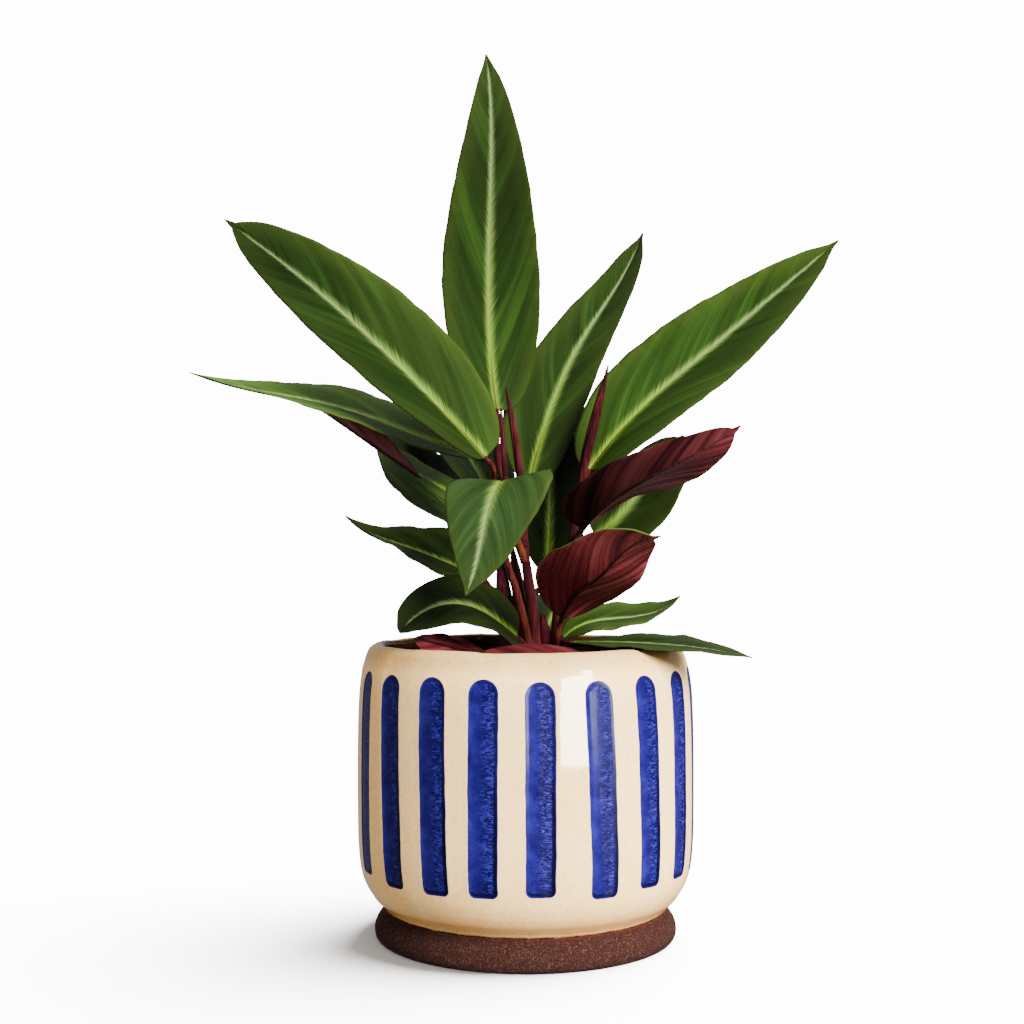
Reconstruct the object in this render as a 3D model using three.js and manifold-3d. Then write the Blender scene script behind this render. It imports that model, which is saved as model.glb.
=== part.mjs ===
// A potted stripestar stromanthe: a prayer plant standing in a striped stoneware pot.
// Millimetres, +Z up. The origin is the centre of the pot's flat underside.
// The photograph looks along +Y, so +X is to its right and -Y is its near side.

import * as THREE from 'three';
import { mergeVertices } from 'three/addons/utils/BufferGeometryUtils.js';
import Module from 'manifold-3d';

const wasm = await Module();
wasm.setup();

const GAP = 0.3;                 // clearance between neighbouring pieces

// The pot: one thick-walled vessel on an unglazed foot.
const POT_RADIUS = 75;           // 150 mm across, a cover pot for a 12 cm grow pot
const POT_HEIGHT = 129;
const LIP_RADIUS = 65;           // the top of the lip, which turns inwards
const WAIST_RADIUS = 61.3;       // the groove between the foot and the glazed body
const FOOT_RADIUS = 67;
const WALL = 5.5;
const FLOOR = 9;                 // top of the pot's inner floor
const POT_SIDES = 48;

// The stripes: shallow channels pressed into the wall, filled with blue glaze.
const STRIPE_COUNT = 20;
const STRIPE_WIDTH = 12;
const STRIPE_DEPTH = 0.6;
const STRIPE_LOW = 32;
const STRIPE_HIGH = 119;
const STRIPE_TURN = 4.9;         // the front stripe stands this many degrees to the right

// The grow pot and the soil in it.
const GROW_RADIUS = 59;
const GROW_FOOT_RADIUS = 45;
const GROW_TOP = 120;
const GROW_WALL = 1.2;
const SOIL_TOP = 113;
const INSIDE_SIDES = 30;         // faces round the grow pot and the soil
const HOLE_FLOOR = 96;           // the shoots' feet stand this high in the soil

// The leaves.
const BLADE = 0.8;               // thickness of a leaf blade
const STALK_END = 1.2;           // half width of a blade where its stalk meets it
const TIP_END = 0.35;            // half width of a blade at its tip
const WAVE_HEIGHT = 0.9;         // how far the edge of a blade waves up and down
const WAVE_COUNT = 3.5;
const BLADE_ROWS = 13;
const BLADE_COLUMNS = 4;

const GREEN = { color: '#35601f', roughness: 0.42, metalness: 0 };
const PALE_GREEN = { color: '#5f8a3a', roughness: 0.45, metalness: 0 };
const DARK_GREEN = { color: '#27481c', roughness: 0.42, metalness: 0 };
const MAROON = { color: '#64212b', roughness: 0.5, metalness: 0 };
const RED_STEM = { color: '#7a2a33', roughness: 0.5, metalness: 0 };
const GLAZE = { color: '#e6d2b0', roughness: 0.15, metalness: 0 };
const PLASTIC = { color: '#24222a', roughness: 0.55, metalness: 0 };
const SOIL = { color: '#2b1e16', roughness: 0.95, metalness: 0 };

// Each blade: where its stalk ends, its size, and how it is held, in degrees.
// heading turns from +X towards +Y, climb rises from level, and roll turns the upper
// face about the midrib; each runs from the base to the tip. widest and fullness shape
// the outline, lop widens one half, and fold lifts both halves off the midrib.
const BLADES = {
  leaf_crown: {
    base: [-13, 3, 238], length: 168, width: 50, widest: 0.3, fullness: 0.9, lop: 0,
    heading: [110, 100], climb: [65, 90, 95, 50], roll: [-20, 15], fold: 8, look: GREEN,
  },
  leaf_upper_left: {
    base: [-18, -15, 211], length: 159, width: 50, widest: 0.32, fullness: 0.6, lop: 0.05,
    heading: [183, 170], climb: [50, 45, 40, 35], roll: [40, 85], fold: 18, look: GREEN,
  },
  leaf_upper_right: {
    base: [2, 10, 202], length: 147, width: 31, widest: 0.34, fullness: 0.55, lop: -0.05,
    heading: [50, 35], climb: [70, 60, 50, 65], roll: [-60, -22], fold: 10, look: GREEN,
  },
  leaf_right: {
    base: [29, 0, 206], length: 165, width: 48, widest: 0.32, fullness: 0.75, lop: 0,
    heading: [15, 12], climb: [55, 40, 40, 40], roll: [-35, -75], fold: 18, look: GREEN,
  },
  leaf_left_long: {
    base: [-21, 7, 213], length: 137, width: 38, widest: 0.5, fullness: 0.75, lop: 0,
    heading: [200, 170], climb: [15, 20, 10, 20], roll: [45, 5], fold: 10, look: GREEN,
  },
  leaf_left_twisted: {
    base: [-24, 7, 191], length: 94, width: 28, widest: 0.5, fullness: 0.75, lop: 0,
    heading: [180, 168], climb: [28, 32, 34, 30], roll: [60, -12, -12], fold: 5, look: MAROON,
  },
  leaf_left_back: {
    base: [-21, 24, 175], length: 78, width: 44, widest: 0.5, fullness: 0.85, lop: -0.1,
    heading: [155, 170], climb: [50, 40, 50, 45], roll: [10, 30], fold: 5, look: DARK_GREEN,
  },
  leaf_front_drooping: {
    base: [-9, -14, 199], length: 87, width: 45, widest: 0.35, fullness: 0.85, lop: -0.1,
    heading: [-95, -115], climb: [14, -25, -60, -45], roll: [-8, 15], fold: 8, look: PALE_GREEN,
  },
  leaf_left_low: {
    base: [-24, -6, 160], length: 64, width: 43, widest: 0.3, fullness: 0.9, lop: 0,
    heading: [165, 180], climb: [25, 20, 20, 45], roll: [30, 5], fold: 15, look: DARK_GREEN,
  },
  leaf_left_arching: {
    base: [-4, -12, 132], length: 69, width: 39, widest: 0.3, fullness: 0.45, lop: -0.25,
    heading: [-135, -150], climb: [35, 25, -10, -50], roll: [55, 35], fold: 20, look: GREEN,
  },
  leaf_right_maroon: {
    base: [25, -6, 180], length: 95, width: 45, widest: 0.2, fullness: 0.5, lop: -0.35,
    heading: [-75, 5], climb: [25, 25, 25, 35], roll: [0, 75], fold: 32, look: MAROON,
  },
  leaf_right_back: {
    base: [33, 16, 176], length: 68, width: 34, widest: 0.42, fullness: 0.5, lop: 0.1,
    heading: [30, 20], climb: [35, 45, 50, 50], roll: [-60, -45], fold: 12, look: DARK_GREEN,
  },
  leaf_front_maroon: {
    base: [16, -16, 141], length: 79, width: 42, widest: 0.45, fullness: 0.65, lop: 0.1,
    heading: [-70, -45], climb: [50, 20, 35, 0], roll: [25, 15], fold: 10, look: MAROON,
  },
  leaf_centre_back: {
    base: [11, 24, 160], length: 78, width: 30, widest: 0.45, fullness: 0.6, lop: 0,
    heading: [75, 60], climb: [85, 85, 75, 60], roll: [-15, -20], fold: 10, look: DARK_GREEN,
  },
  leaf_right_low: {
    base: [17, -6, 131], length: 57, width: 28, widest: 0.45, fullness: 0.75, lop: 0.05,
    heading: [5, -15], climb: [48, 8, 12, 48], roll: [-25, -18], fold: 8, look: DARK_GREEN,
  },
  leaf_right_rim: {
    base: [20, -14, 130], length: 82, width: 34, widest: 0.5, fullness: 0.7, lop: 0,
    heading: [-40, 0], climb: [3, 0, -5, -14], roll: [-6, -8], fold: 4, look: DARK_GREEN,
  },
  leaf_rim_left: {
    base: [-16, -34, 125], length: 33, width: 17, widest: 0.5, fullness: 0.7, lop: 0,
    heading: [188, 184], climb: [14, 14], roll: [-140, -140], fold: 5, look: MAROON,
  },
  leaf_rim_front: {
    base: [34, -44, 120], length: 56, width: 18, widest: 0.5, fullness: 0.7, lop: 0,
    heading: [188, 180], climb: [15, 6, 4, 6], roll: [-125, -125], fold: 5, look: MAROON,
  },
  leaf_back_low: {
    base: [8, 17, 124], length: 66, width: 36, widest: 0.45, fullness: 0.7, lop: 0,
    heading: [70, 60], climb: [60, 30, 0, -30], roll: [0, 0], fold: 12, look: DARK_GREEN,
  },
  leaf_back_left: {
    base: [-12, 22, 184], length: 104, width: 40, widest: 0.45, fullness: 0.7, lop: 0,
    heading: [125, 135], climb: [60, 45, 25, -5], roll: [0, 10], fold: 12, look: GREEN,
  },
  leaf_back_right: {
    base: [26, 30, 188], length: 98, width: 38, widest: 0.45, fullness: 0.7, lop: 0,
    heading: [75, 60], climb: [60, 45, 25, 0], roll: [0, -10], fold: 12, look: GREEN,
  },
  leaf_back_rim: {
    base: [-4, 20, 128], length: 70, width: 36, widest: 0.45, fullness: 0.7, lop: 0,
    heading: [140, 130], climb: [40, 15, -10, -35], roll: [0, 0], fold: 12, look: DARK_GREEN,
  },
};

const radians = THREE.MathUtils.degToRad;

// A smooth value at s from 0 to 1 along evenly spaced stations.
function along(stations, s) {
  const last = stations.length - 1;
  const x = s * last;
  const i = Math.min(Math.floor(x), last - 1);
  const t = x - i;
  const a = stations[i];
  const b = stations[i + 1];
  const slopeA = i > 0 ? (b - stations[i - 1]) / 2 : b - a;
  const slopeB = i + 1 < last ? (stations[i + 2] - a) / 2 : b - a;
  return (2 * t ** 3 - 3 * t ** 2 + 1) * a + (t ** 3 - 2 * t ** 2 + t) * slopeA
    + (3 * t ** 2 - 2 * t ** 3) * b + (t ** 3 - t ** 2) * slopeB;
}

// The direction of the midrib, and the blade's sideways and upward directions, at s.
function bladeFrame(blade, s) {
  const heading = radians(along(blade.heading, s));
  const climb = radians(along(blade.climb, s));
  const roll = radians(along(blade.roll, s));
  const level = new THREE.Vector3(Math.cos(heading), Math.sin(heading), 0);
  const ahead = level.clone().multiplyScalar(Math.cos(climb)).setZ(Math.sin(climb));
  const side = new THREE.Vector3(Math.sin(heading), -Math.cos(heading), 0);
  const up = side.clone().cross(ahead).normalize();
  return {
    ahead,
    side: side.clone().multiplyScalar(Math.cos(roll)).addScaledVector(up, Math.sin(roll)),
    up: up.clone().multiplyScalar(Math.cos(roll)).addScaledVector(side, -Math.sin(roll)),
  };
}

// Points down the midrib, one for each row.
function midrib(blade) {
  const fine = 4;
  const steps = BLADE_ROWS * fine;
  const point = new THREE.Vector3(...blade.base);
  const points = [point.clone()];
  for (let k = 0; k < steps; k += 1) {
    point.addScaledVector(bladeFrame(blade, (k + 0.5) / steps).ahead, blade.length / steps);
    if ((k + 1) % fine === 0) points.push(point.clone());
  }
  return points;
}

// Half the blade's width at s, before lop.
function halfWidth(blade, s) {
  const power = Math.log(0.5) / Math.log(blade.widest);
  const bulge = Math.sin(Math.PI * s ** power) ** blade.fullness;
  return blade.width / 2 * bulge + THREE.MathUtils.lerp(STALK_END, TIP_END, s) * (1 - bulge);
}

// One closed blade: an upper and a lower sheet cut into triangles alike, and its edge.
function bladeGeometry(blade, phase) {
  const spine = midrib(blade);
  const fold = radians(blade.fold);
  const positions = [];
  for (const face of [1, -1]) {
    for (let row = 0; row <= BLADE_ROWS; row += 1) {
      const s = row / BLADE_ROWS;
      const frame = bladeFrame(blade, s);
      for (let column = 0; column <= BLADE_COLUMNS; column += 1) {
        const u = column / BLADE_COLUMNS * 2 - 1;
        const reach = halfWidth(blade, Math.max(s, 1e-6)) * Math.abs(u) * (1 + blade.lop * Math.sign(u));
        const swell = WAVE_HEIGHT * u * u * Math.sin(Math.PI * s);
        const wave = swell * Math.sin(2 * Math.PI * WAVE_COUNT * s + phase + (u > 0 ? 0 : 2));
        const lean = Math.abs(u) < 0.01 ? 0 : fold * Math.sign(u);
        const normal = frame.up.clone().multiplyScalar(Math.cos(lean))
          .addScaledVector(frame.side, -Math.sin(lean));
        const point = spine[row].clone()
          .addScaledVector(frame.side, reach * Math.cos(fold) * Math.sign(u))
          .addScaledVector(frame.up, reach * Math.sin(fold) + wave)
          .addScaledVector(normal, face * BLADE / 2);
        positions.push(point.x, point.y, point.z);
      }
    }
  }
  const across = BLADE_COLUMNS + 1;
  const sheet = across * (BLADE_ROWS + 1);
  const faces = [];
  for (let row = 0; row < BLADE_ROWS; row += 1) {
    for (let column = 0; column < BLADE_COLUMNS; column += 1) {
      const a = row * across + column;
      const b = a + across;
      faces.push(a, a + 1, b + 1, a, b + 1, b);
      faces.push(a + sheet, b + 1 + sheet, a + 1 + sheet, a + sheet, b + sheet, b + 1 + sheet);
    }
  }
  const rim = [];
  for (let column = 0; column < BLADE_COLUMNS; column += 1) rim.push(column);
  for (let row = 0; row < BLADE_ROWS; row += 1) rim.push(row * across + BLADE_COLUMNS);
  for (let column = BLADE_COLUMNS; column > 0; column -= 1) rim.push(BLADE_ROWS * across + column);
  for (let row = BLADE_ROWS; row > 0; row -= 1) rim.push(row * across);
  rim.forEach((a, k) => {
    const b = rim[(k + 1) % rim.length];
    faces.push(a, a + sheet, b + sheet, a, b + sheet, b);
  });
  return closedGeometry(positions, faces);
}

function closedGeometry(positions, faces) {
  const geometry = new THREE.BufferGeometry();
  geometry.setAttribute('position', new THREE.Float32BufferAttribute(positions, 3));
  geometry.setIndex(faces);
  geometry.computeVertexNormals();
  return geometry;
}

// A round stem through the given points, its radius running smoothly through radii.
function stemGeometry(points, radii, sides = 8, rows = points.length * 2) {
  const curve = new THREE.CatmullRomCurve3(points.map((p) => new THREE.Vector3(...p)), false, 'centripetal');
  const frames = curve.computeFrenetFrames(rows, false);
  const positions = [];
  for (let row = 0; row <= rows; row += 1) {
    const centre = curve.getPointAt(row / rows);
    const radius = along(radii, row / rows);
    for (let k = 0; k < sides; k += 1) {
      const angle = 2 * Math.PI * k / sides;
      const point = centre.clone()
        .addScaledVector(frames.normals[row], radius * Math.cos(angle))
        .addScaledVector(frames.binormals[row], radius * Math.sin(angle));
      positions.push(point.x, point.y, point.z);
    }
  }
  const faces = [];
  for (let row = 0; row < rows; row += 1) {
    for (let k = 0; k < sides; k += 1) {
      const a = row * sides + k;
      const b = row * sides + (k + 1) % sides;
      faces.push(a, b, b + sides, a, b + sides, a + sides);
    }
  }
  for (let k = 1; k < sides - 1; k += 1) {
    faces.push(0, k + 1, k);
    faces.push(rows * sides, rows * sides + k, rows * sides + k + 1);
  }
  return closedGeometry(positions, faces);
}

// A turned piece standing on +Z, from [radius, height] points that start and end on the axis.
function turned(profile, sides) {
  const points = profile.map(([radius, height]) => new THREE.Vector2(radius, height));
  return new THREE.LatheGeometry(points, sides).rotateX(Math.PI / 2);
}

function toSolid(geometry) {
  const bare = geometry.clone();
  bare.deleteAttribute('normal');
  bare.deleteAttribute('uv');
  const merged = mergeVertices(bare, 1e-4);
  return new wasm.Manifold(new wasm.Mesh({
    numProp: 3,
    vertProperties: new Float32Array(merged.attributes.position.array),
    triVerts: new Uint32Array(merged.index.array),
  }));
}

function toGeometry(solid) {
  const mesh = solid.getMesh();
  return closedGeometry(Array.from(mesh.vertProperties), Array.from(mesh.triVerts));
}

// The pot's outside from the waist to the lip, pushed in by inset.
function bodyProfile(inset) {
  const r = POT_RADIUS - inset;
  return [
    [WAIST_RADIUS - inset, 13.5], [64.6 - inset, 15.8], [69.2 - inset, 21], [72 - inset, 26.4],
    [r - 1.4, 33], [r - 0.4, 43], [r, 60], [r, 88], [r - 0.3, 101],
    [r - 0.8, 110], [r - 1.8, 117], [r - 3.4, 123],
  ];
}

function makePot() {
  const foot = [[0, 0], [65.5, 0], [66.6, 1.2], [FOOT_RADIUS, 4], [66.2, 7], [64.4, 10]];
  const lip = [
    [POT_RADIUS - 5.1, 126.6], [POT_RADIUS - 7.6, 128.4], [LIP_RADIUS, POT_HEIGHT],
    [LIP_RADIUS - 1.6, 128], [LIP_RADIUS - 1.8, 125.6],
  ];
  const inside = [
    [66.8, 118], [POT_RADIUS - WALL, 100], [POT_RADIUS - WALL, 42], [65, 25], [56, 13], [49, FLOOR], [0, FLOOR],
  ];
  const whole = toSolid(turned([...foot, ...bodyProfile(0), ...lip, ...inside], POT_SIDES));
  const core = toSolid(turned([[0, 13.5], ...bodyProfile(STRIPE_DEPTH), [0, 123]], POT_SIDES));
  return toGeometry(whole.subtract(makeStripes().subtract(core)));
}

// Twenty upright bars with rounded ends, standing round the pot through its wall.
function makeStripes() {
  const high = STRIPE_HIGH - STRIPE_LOW;
  const half = STRIPE_WIDTH / 2;
  const foot = 3.5;
  const shape = new THREE.Shape();
  shape.moveTo(-half + foot, 0);
  shape.lineTo(half - foot, 0);
  shape.quadraticCurveTo(half, 0, half, foot);
  shape.lineTo(half, high - half);
  shape.absarc(0, high - half, half, 0, Math.PI, false);
  shape.lineTo(-half, foot);
  shape.quadraticCurveTo(-half, 0, -half + foot, 0);
  const bar = new THREE.ExtrudeGeometry(shape, { depth: 20, bevelEnabled: false, curveSegments: 3 });
  bar.rotateX(Math.PI / 2).translate(0, -62, STRIPE_LOW);
  let stripes = null;
  for (let k = 0; k < STRIPE_COUNT; k += 1) {
    const turn = radians(STRIPE_TURN + k * 360 / STRIPE_COUNT);
    const stripe = toSolid(bar.clone().rotateZ(turn));
    stripes = stripes ? stripes.add(stripe) : stripe;
  }
  return stripes;
}

// The thin black grow pot that the plant came in, standing on the pot's floor.
function makeGrowPot() {
  const bottom = FLOOR + GAP + 0.6;
  return turned([
    [0, bottom], [GROW_FOOT_RADIUS, bottom], [GROW_RADIUS - 1.5, GROW_TOP - 9],
    [GROW_RADIUS + 1.2, GROW_TOP - 8], [GROW_RADIUS + 1.5, GROW_TOP - 0.6], [GROW_RADIUS, GROW_TOP],
    [GROW_RADIUS - GROW_WALL, GROW_TOP - 1], [GROW_RADIUS - 1.5 - GROW_WALL, GROW_TOP - 9],
    [GROW_FOOT_RADIUS - GROW_WALL, bottom + GROW_WALL], [0, bottom + GROW_WALL],
  ], INSIDE_SIDES);
}

// Rolled new leaves, not yet open, each standing on a stalk or a cane.
const SPEARS = {
  spear_main: {
    path: [[-1.1, 0, 194.4], [-2.4, -1, 204], [-5, -2, 224], [-8.7, -3, 243]],
    radii: [1.3, 1.5, 1.3, 0.3],
  },
  spear_left: {
    path: [[-9, -6, 203], [-9.6, -6, 212], [-10.3, -5, 223], [-11, -5, 234]],
    radii: [1, 1.3, 1.2, 0.3],
  },
  spear_right: {
    path: [[23.8, -2.5, 194.4], [27, -5, 212], [32, -6, 232], [37, -6, 253]],
    radii: [1.6, 2.2, 1.9, 0.3],
  },
};

// Each shoot: a cane with the stalks that branch from it. A stalk ends at its leaf's base.
const SHOOTS = {
  shoot_main: {
    foot: [4, 2],
    cane: [[4, 2, 128], [3, 1, 145], [0, 0, 168], [-1, 0, 194]],
    canes: [3, 2.6, 2.2, 1.7, 1.4],
    stalks: {
      leaf_crown: [[0, 1, 170], [-8, 3, 196], [-13, 3, 216]],
      leaf_upper_left: [[0, 0, 165], [-7, -3, 184], [-14, -7, 201]],
      leaf_upper_right: [[-1, 1, 176], [0, 5, 190]],
      leaf_left_long: [[0, 1, 168], [-8, 5, 190], [-14, 7, 204]],
      leaf_front_drooping: [[3, 1, 118], [0, -3, 135], [-4, -5, 152], [-9, -8, 168], [-10.5, -11, 189]],
      leaf_rim_left: [[4, 2, 115], [-5, -18, 118]],
      spear_left: [[0, 0, 172], [-5, -3, 186]],
    },
  },
  shoot_right: {
    foot: [14, 8],
    cane: [[14, 8, 128], [15, 7, 145], [20, 4, 170], [23.6, -2, 194]],
    canes: [2.6, 2.4, 2, 1.8, 1.6],
    stalks: {
      leaf_right: [[21, 3, 176], [26, 3, 194]],
      leaf_back_right: [[17, 7, 156], [26, 19, 170]],
      leaf_right_maroon: [[16, 7, 152], [21, 1, 168]],
      leaf_right_back: [[17, 6, 156], [26, 12, 170]],
      leaf_front_maroon: [[14, 7, 116], [14, -4, 124], [14, -12, 132]],
      leaf_right_low: [[14, 7, 118], [16, 0, 124]],
      leaf_right_rim: [[14, 8, 116], [17, -4, 124]],
      leaf_rim_front: [[14, 8, 115], [31, -14, 117], [41, -34, 118]],
    },
  },
  shoot_left: {
    foot: [-5, 12],
    cane: [[-5, 12, 128], [-7, 12, 145], [-10, 13, 162], [-12, 16, 176]],
    canes: [2.4, 2.2, 1.8, 1.5, 1.3],
    stalks: {
      leaf_left_twisted: [[-10, 13, 162], [-17, 12, 184]],
      leaf_left_back: [[-9, 13, 158], [-16, 18, 169]],
      leaf_back_left: [[-10, 14, 162], [-10, 18, 174]],
      leaf_left_low: [[-6, 12, 138], [-14, 4, 150]],
      leaf_left_arching: [[-5, 12, 116], [-4, 2, 124]],
      leaf_centre_back: [[-6, 12, 134], [4, 19, 150]],
      leaf_back_low: [[-5, 12, 116], [1, 15, 118]],
      leaf_back_rim: [[-5, 12, 114], [-4, 16, 120]],
    },
  },
};

// Where a blade or a spear starts, and which way it sets off.
function leafSeat(name) {
  if (name in BLADES) {
    const blade = BLADES[name];
    return { base: new THREE.Vector3(...blade.base), ahead: bladeFrame(blade, 0).ahead };
  }
  const [base, next] = SPEARS[name].path.map((p) => new THREE.Vector3(...p));
  return { base, ahead: next.clone().sub(base).normalize() };
}

// A shoot's cane and stalks as one body.
function makeShoot(shoot) {
  const [x, y] = shoot.foot;
  let body = toSolid(stemGeometry([[x, y, HOLE_FLOOR + GAP], [x, y, SOIL_TOP], ...shoot.cane], shoot.canes));
  for (const [leaf, via] of Object.entries(shoot.stalks)) {
    const { base, ahead } = leafSeat(leaf);
    const end = base.clone().addScaledVector(ahead, -GAP);
    const before = end.clone().addScaledVector(ahead, -5);
    const path = [...via, before.toArray(), end.toArray()];
    body = body.add(toSolid(stemGeometry(path, [1.9, 1.5, 1.3, 1], 6, 6)));
  }
  return toGeometry(body);
}

// The soil, with a hole for each shoot.
function makeSoil() {
  const low = FLOOR + 2 * GAP + 0.6 + GROW_WALL;
  const slope = (GROW_RADIUS - 1.5 - GROW_FOOT_RADIUS) / (GROW_TOP - 9 - FLOOR - GAP - 0.6);
  const radiusAt = (z) => GROW_FOOT_RADIUS - GROW_WALL - GAP + slope * (z - FLOOR - GAP - 0.6);
  let soil = toSolid(turned([
    [0, low], [radiusAt(low) - 0.2, low], [radiusAt(GROW_TOP - 10), GROW_TOP - 10],
    [radiusAt(GROW_TOP - 10), SOIL_TOP - 1.6], [40, SOIL_TOP], [0, SOIL_TOP + 0.5],
  ], INSIDE_SIDES));
  for (const shoot of Object.values(SHOOTS)) {
    const hole = new THREE.CylinderGeometry(shoot.canes[0] + GAP + 0.1, shoot.canes[0] + GAP + 0.1, 40, 16);
    hole.rotateX(Math.PI / 2).translate(...shoot.foot, HOLE_FLOOR + 20);
    soil = soil.subtract(toSolid(hole));
  }
  return toGeometry(soil);
}

const plant = new THREE.Group();

function addPiece(name, geometry, look) {
  const mesh = new THREE.Mesh(geometry, new THREE.MeshStandardMaterial(look));
  mesh.name = name;
  plant.add(mesh);
}

addPiece('pot', makePot(), GLAZE);
addPiece('grow_pot', makeGrowPot(), PLASTIC);
addPiece('soil', makeSoil(), SOIL);
for (const [name, shoot] of Object.entries(SHOOTS)) addPiece(name, makeShoot(shoot), RED_STEM);
for (const [name, spear] of Object.entries(SPEARS)) {
  addPiece(name, stemGeometry(spear.path, spear.radii), RED_STEM);
}
Object.entries(BLADES).forEach(([name, blade], index) => {
  addPiece(name, bladeGeometry(blade, index * 2.4), blade.look);
});

export default plant;
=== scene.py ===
"""Looks of the potted stripestar stromanthe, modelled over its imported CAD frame.

Metres, +Z up. The origin is the centre of the pot's flat underside, and the photograph
looks along +Y. Sizes that stand in millimetres are turned to metres where a mesh is made.
"""

import logging
import math
from dataclasses import dataclass
from enum import Enum
from typing import Mapping, Sequence

import bpy
import numpy as np
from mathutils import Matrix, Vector


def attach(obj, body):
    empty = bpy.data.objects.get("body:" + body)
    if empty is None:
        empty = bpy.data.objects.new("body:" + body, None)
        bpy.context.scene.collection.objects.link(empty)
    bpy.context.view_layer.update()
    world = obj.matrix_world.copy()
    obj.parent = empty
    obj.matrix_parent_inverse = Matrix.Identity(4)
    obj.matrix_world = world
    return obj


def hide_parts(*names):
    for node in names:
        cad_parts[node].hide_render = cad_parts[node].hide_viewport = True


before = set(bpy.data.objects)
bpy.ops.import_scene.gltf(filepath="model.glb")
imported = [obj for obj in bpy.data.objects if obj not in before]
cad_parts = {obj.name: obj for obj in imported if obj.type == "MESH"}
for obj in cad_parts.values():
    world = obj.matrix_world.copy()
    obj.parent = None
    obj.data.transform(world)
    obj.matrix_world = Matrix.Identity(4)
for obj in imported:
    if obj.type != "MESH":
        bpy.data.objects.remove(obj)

Piece, Material = bpy.types.Object, bpy.types.Material
Tree, Socket = bpy.types.NodeTree, bpy.types.NodeSocket
Point, Array = tuple[float, float, float], np.ndarray

MM = 0.001
SHEET = 100.0  # One unit of the maps "veins" and "channel" in mm.
log = logging.getLogger("stromanthe")


# Tools of the bench -----------------------------------------------------------------------


def linear(colour: str) -> tuple[float, float, float, float]:
    """Turns a colour into the linear values that a shader takes.

    Args:
        colour: sRGB hex, such as "#a0b1c2".

    Returns:
        Linear red, green, blue and an alpha of 1.
    """
    parts = [int(colour[k:k + 2], 16) / 255 for k in (1, 3, 5)]
    return (*(p / 12.92 if p <= 0.04045 else ((p + 0.055) / 1.055) ** 2.4 for p in parts), 1.0)


def scale_of(pitch: float, unit: float = 1 / MM) -> float:
    """Works out the scale of a pattern from its real size.

    Args:
        pitch: Distance from one feature to the next in mm.
        unit: One unit of the pattern's coordinates in mm, as a rule a metre.

    Returns:
        The texture's scale.
    """
    return unit / pitch


def add_node(
    tree: Tree,
    kind: str,
    settings: Mapping[int | str, object] | None = None,
    links: Mapping[int | str, Socket] | None = None,
) -> bpy.types.Node:
    """Adds a shader node with its settings and links.

    Args:
        tree: The material's or world's node tree.
        kind: The node's type name.
        settings: Values by input name or number, or by the name of the node's own property.
            A colour may be sRGB hex, and "stops" holds a colour ramp's places and colours.
        links: Sockets to plug in, by input name or number.

    Returns:
        The new node.
    """
    node = tree.nodes.new(kind)
    for key, value in (settings or {}).items():
        if key == "stops":
            elements = node.color_ramp.elements
            while len(elements) < len(value):
                elements.new(1.0)
            for element, (position, colour) in zip(elements, value):
                element.position, element.color = position, linear(colour)
        elif isinstance(key, str) and key not in node.inputs:
            setattr(node, key, value)
        else:
            node.inputs[key].default_value = linear(value) if isinstance(value, str) else value
    for key, socket in (links or {}).items():
        tree.links.new(socket, node.inputs[key])
    return node


def new_material(name: str) -> tuple[Material, Tree, bpy.types.Node]:
    """Starts a material with an empty Principled shader.

    Args:
        name: The material's name.

    Returns:
        The material, its node tree and its Principled shader.
    """
    material = bpy.data.materials.new(name)
    material.use_nodes = True
    tree = material.node_tree
    tree.nodes.clear()
    shader = add_node(tree, "ShaderNodeBsdfPrincipled")
    add_node(tree, "ShaderNodeOutputMaterial", links={"Surface": shader.outputs[0]})
    return material, tree, shader


def deselect_all() -> None:
    """Leaves edit mode if need be and deselects every object."""
    if bpy.context.object and bpy.context.object.mode != "OBJECT":
        bpy.ops.object.mode_set(mode="OBJECT")
    bpy.ops.object.select_all(action="DESELECT")


def choose(*pieces: Piece) -> None:
    """Selects only these pieces and makes the first one active.

    Args:
        *pieces: The pieces to select.
    """
    deselect_all()
    for piece in pieces:
        piece.select_set(True)
    bpy.context.view_layer.objects.active = pieces[0]


def read_points(piece: Piece) -> Array:
    """Reads where the piece's vertices are.

    Args:
        piece: The piece to read.

    Returns:
        Rows of x, y and z in metres.
    """
    points = np.empty(len(piece.data.vertices) * 3)
    piece.data.vertices.foreach_get("co", points)
    return points.reshape(-1, 3)


def write_points(piece: Piece, points: Array) -> None:
    """Moves the piece's vertices to these places in metres."""
    piece.data.vertices.foreach_set("co", np.ascontiguousarray(points, float).ravel())
    piece.data.update()


def write_attribute(piece: Piece, name: str, values: Array) -> None:
    """Stores one number for each vertex under this name."""
    layer = piece.data.attributes.new(name, "FLOAT", "POINT")
    layer.data.foreach_set("value", np.ascontiguousarray(values, np.float32))


def write_uv(piece: Piece, name: str, across: Array, up: Array) -> None:
    """Stores a pattern's own coordinates, given at each vertex, as a UV map.

    Args:
        piece: The piece to mark.
        name: The UV map's name.
        across: First coordinate at each vertex.
        up: Second coordinate at each vertex.
    """
    mesh = piece.data
    layer = mesh.uv_layers.get(name) or mesh.uv_layers.new(name=name)
    corner = np.empty(len(mesh.loops), np.int32)
    mesh.loops.foreach_get("vertex_index", corner)
    layer.data.foreach_set("uv", np.stack([across[corner], up[corner]], 1).ravel())


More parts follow.
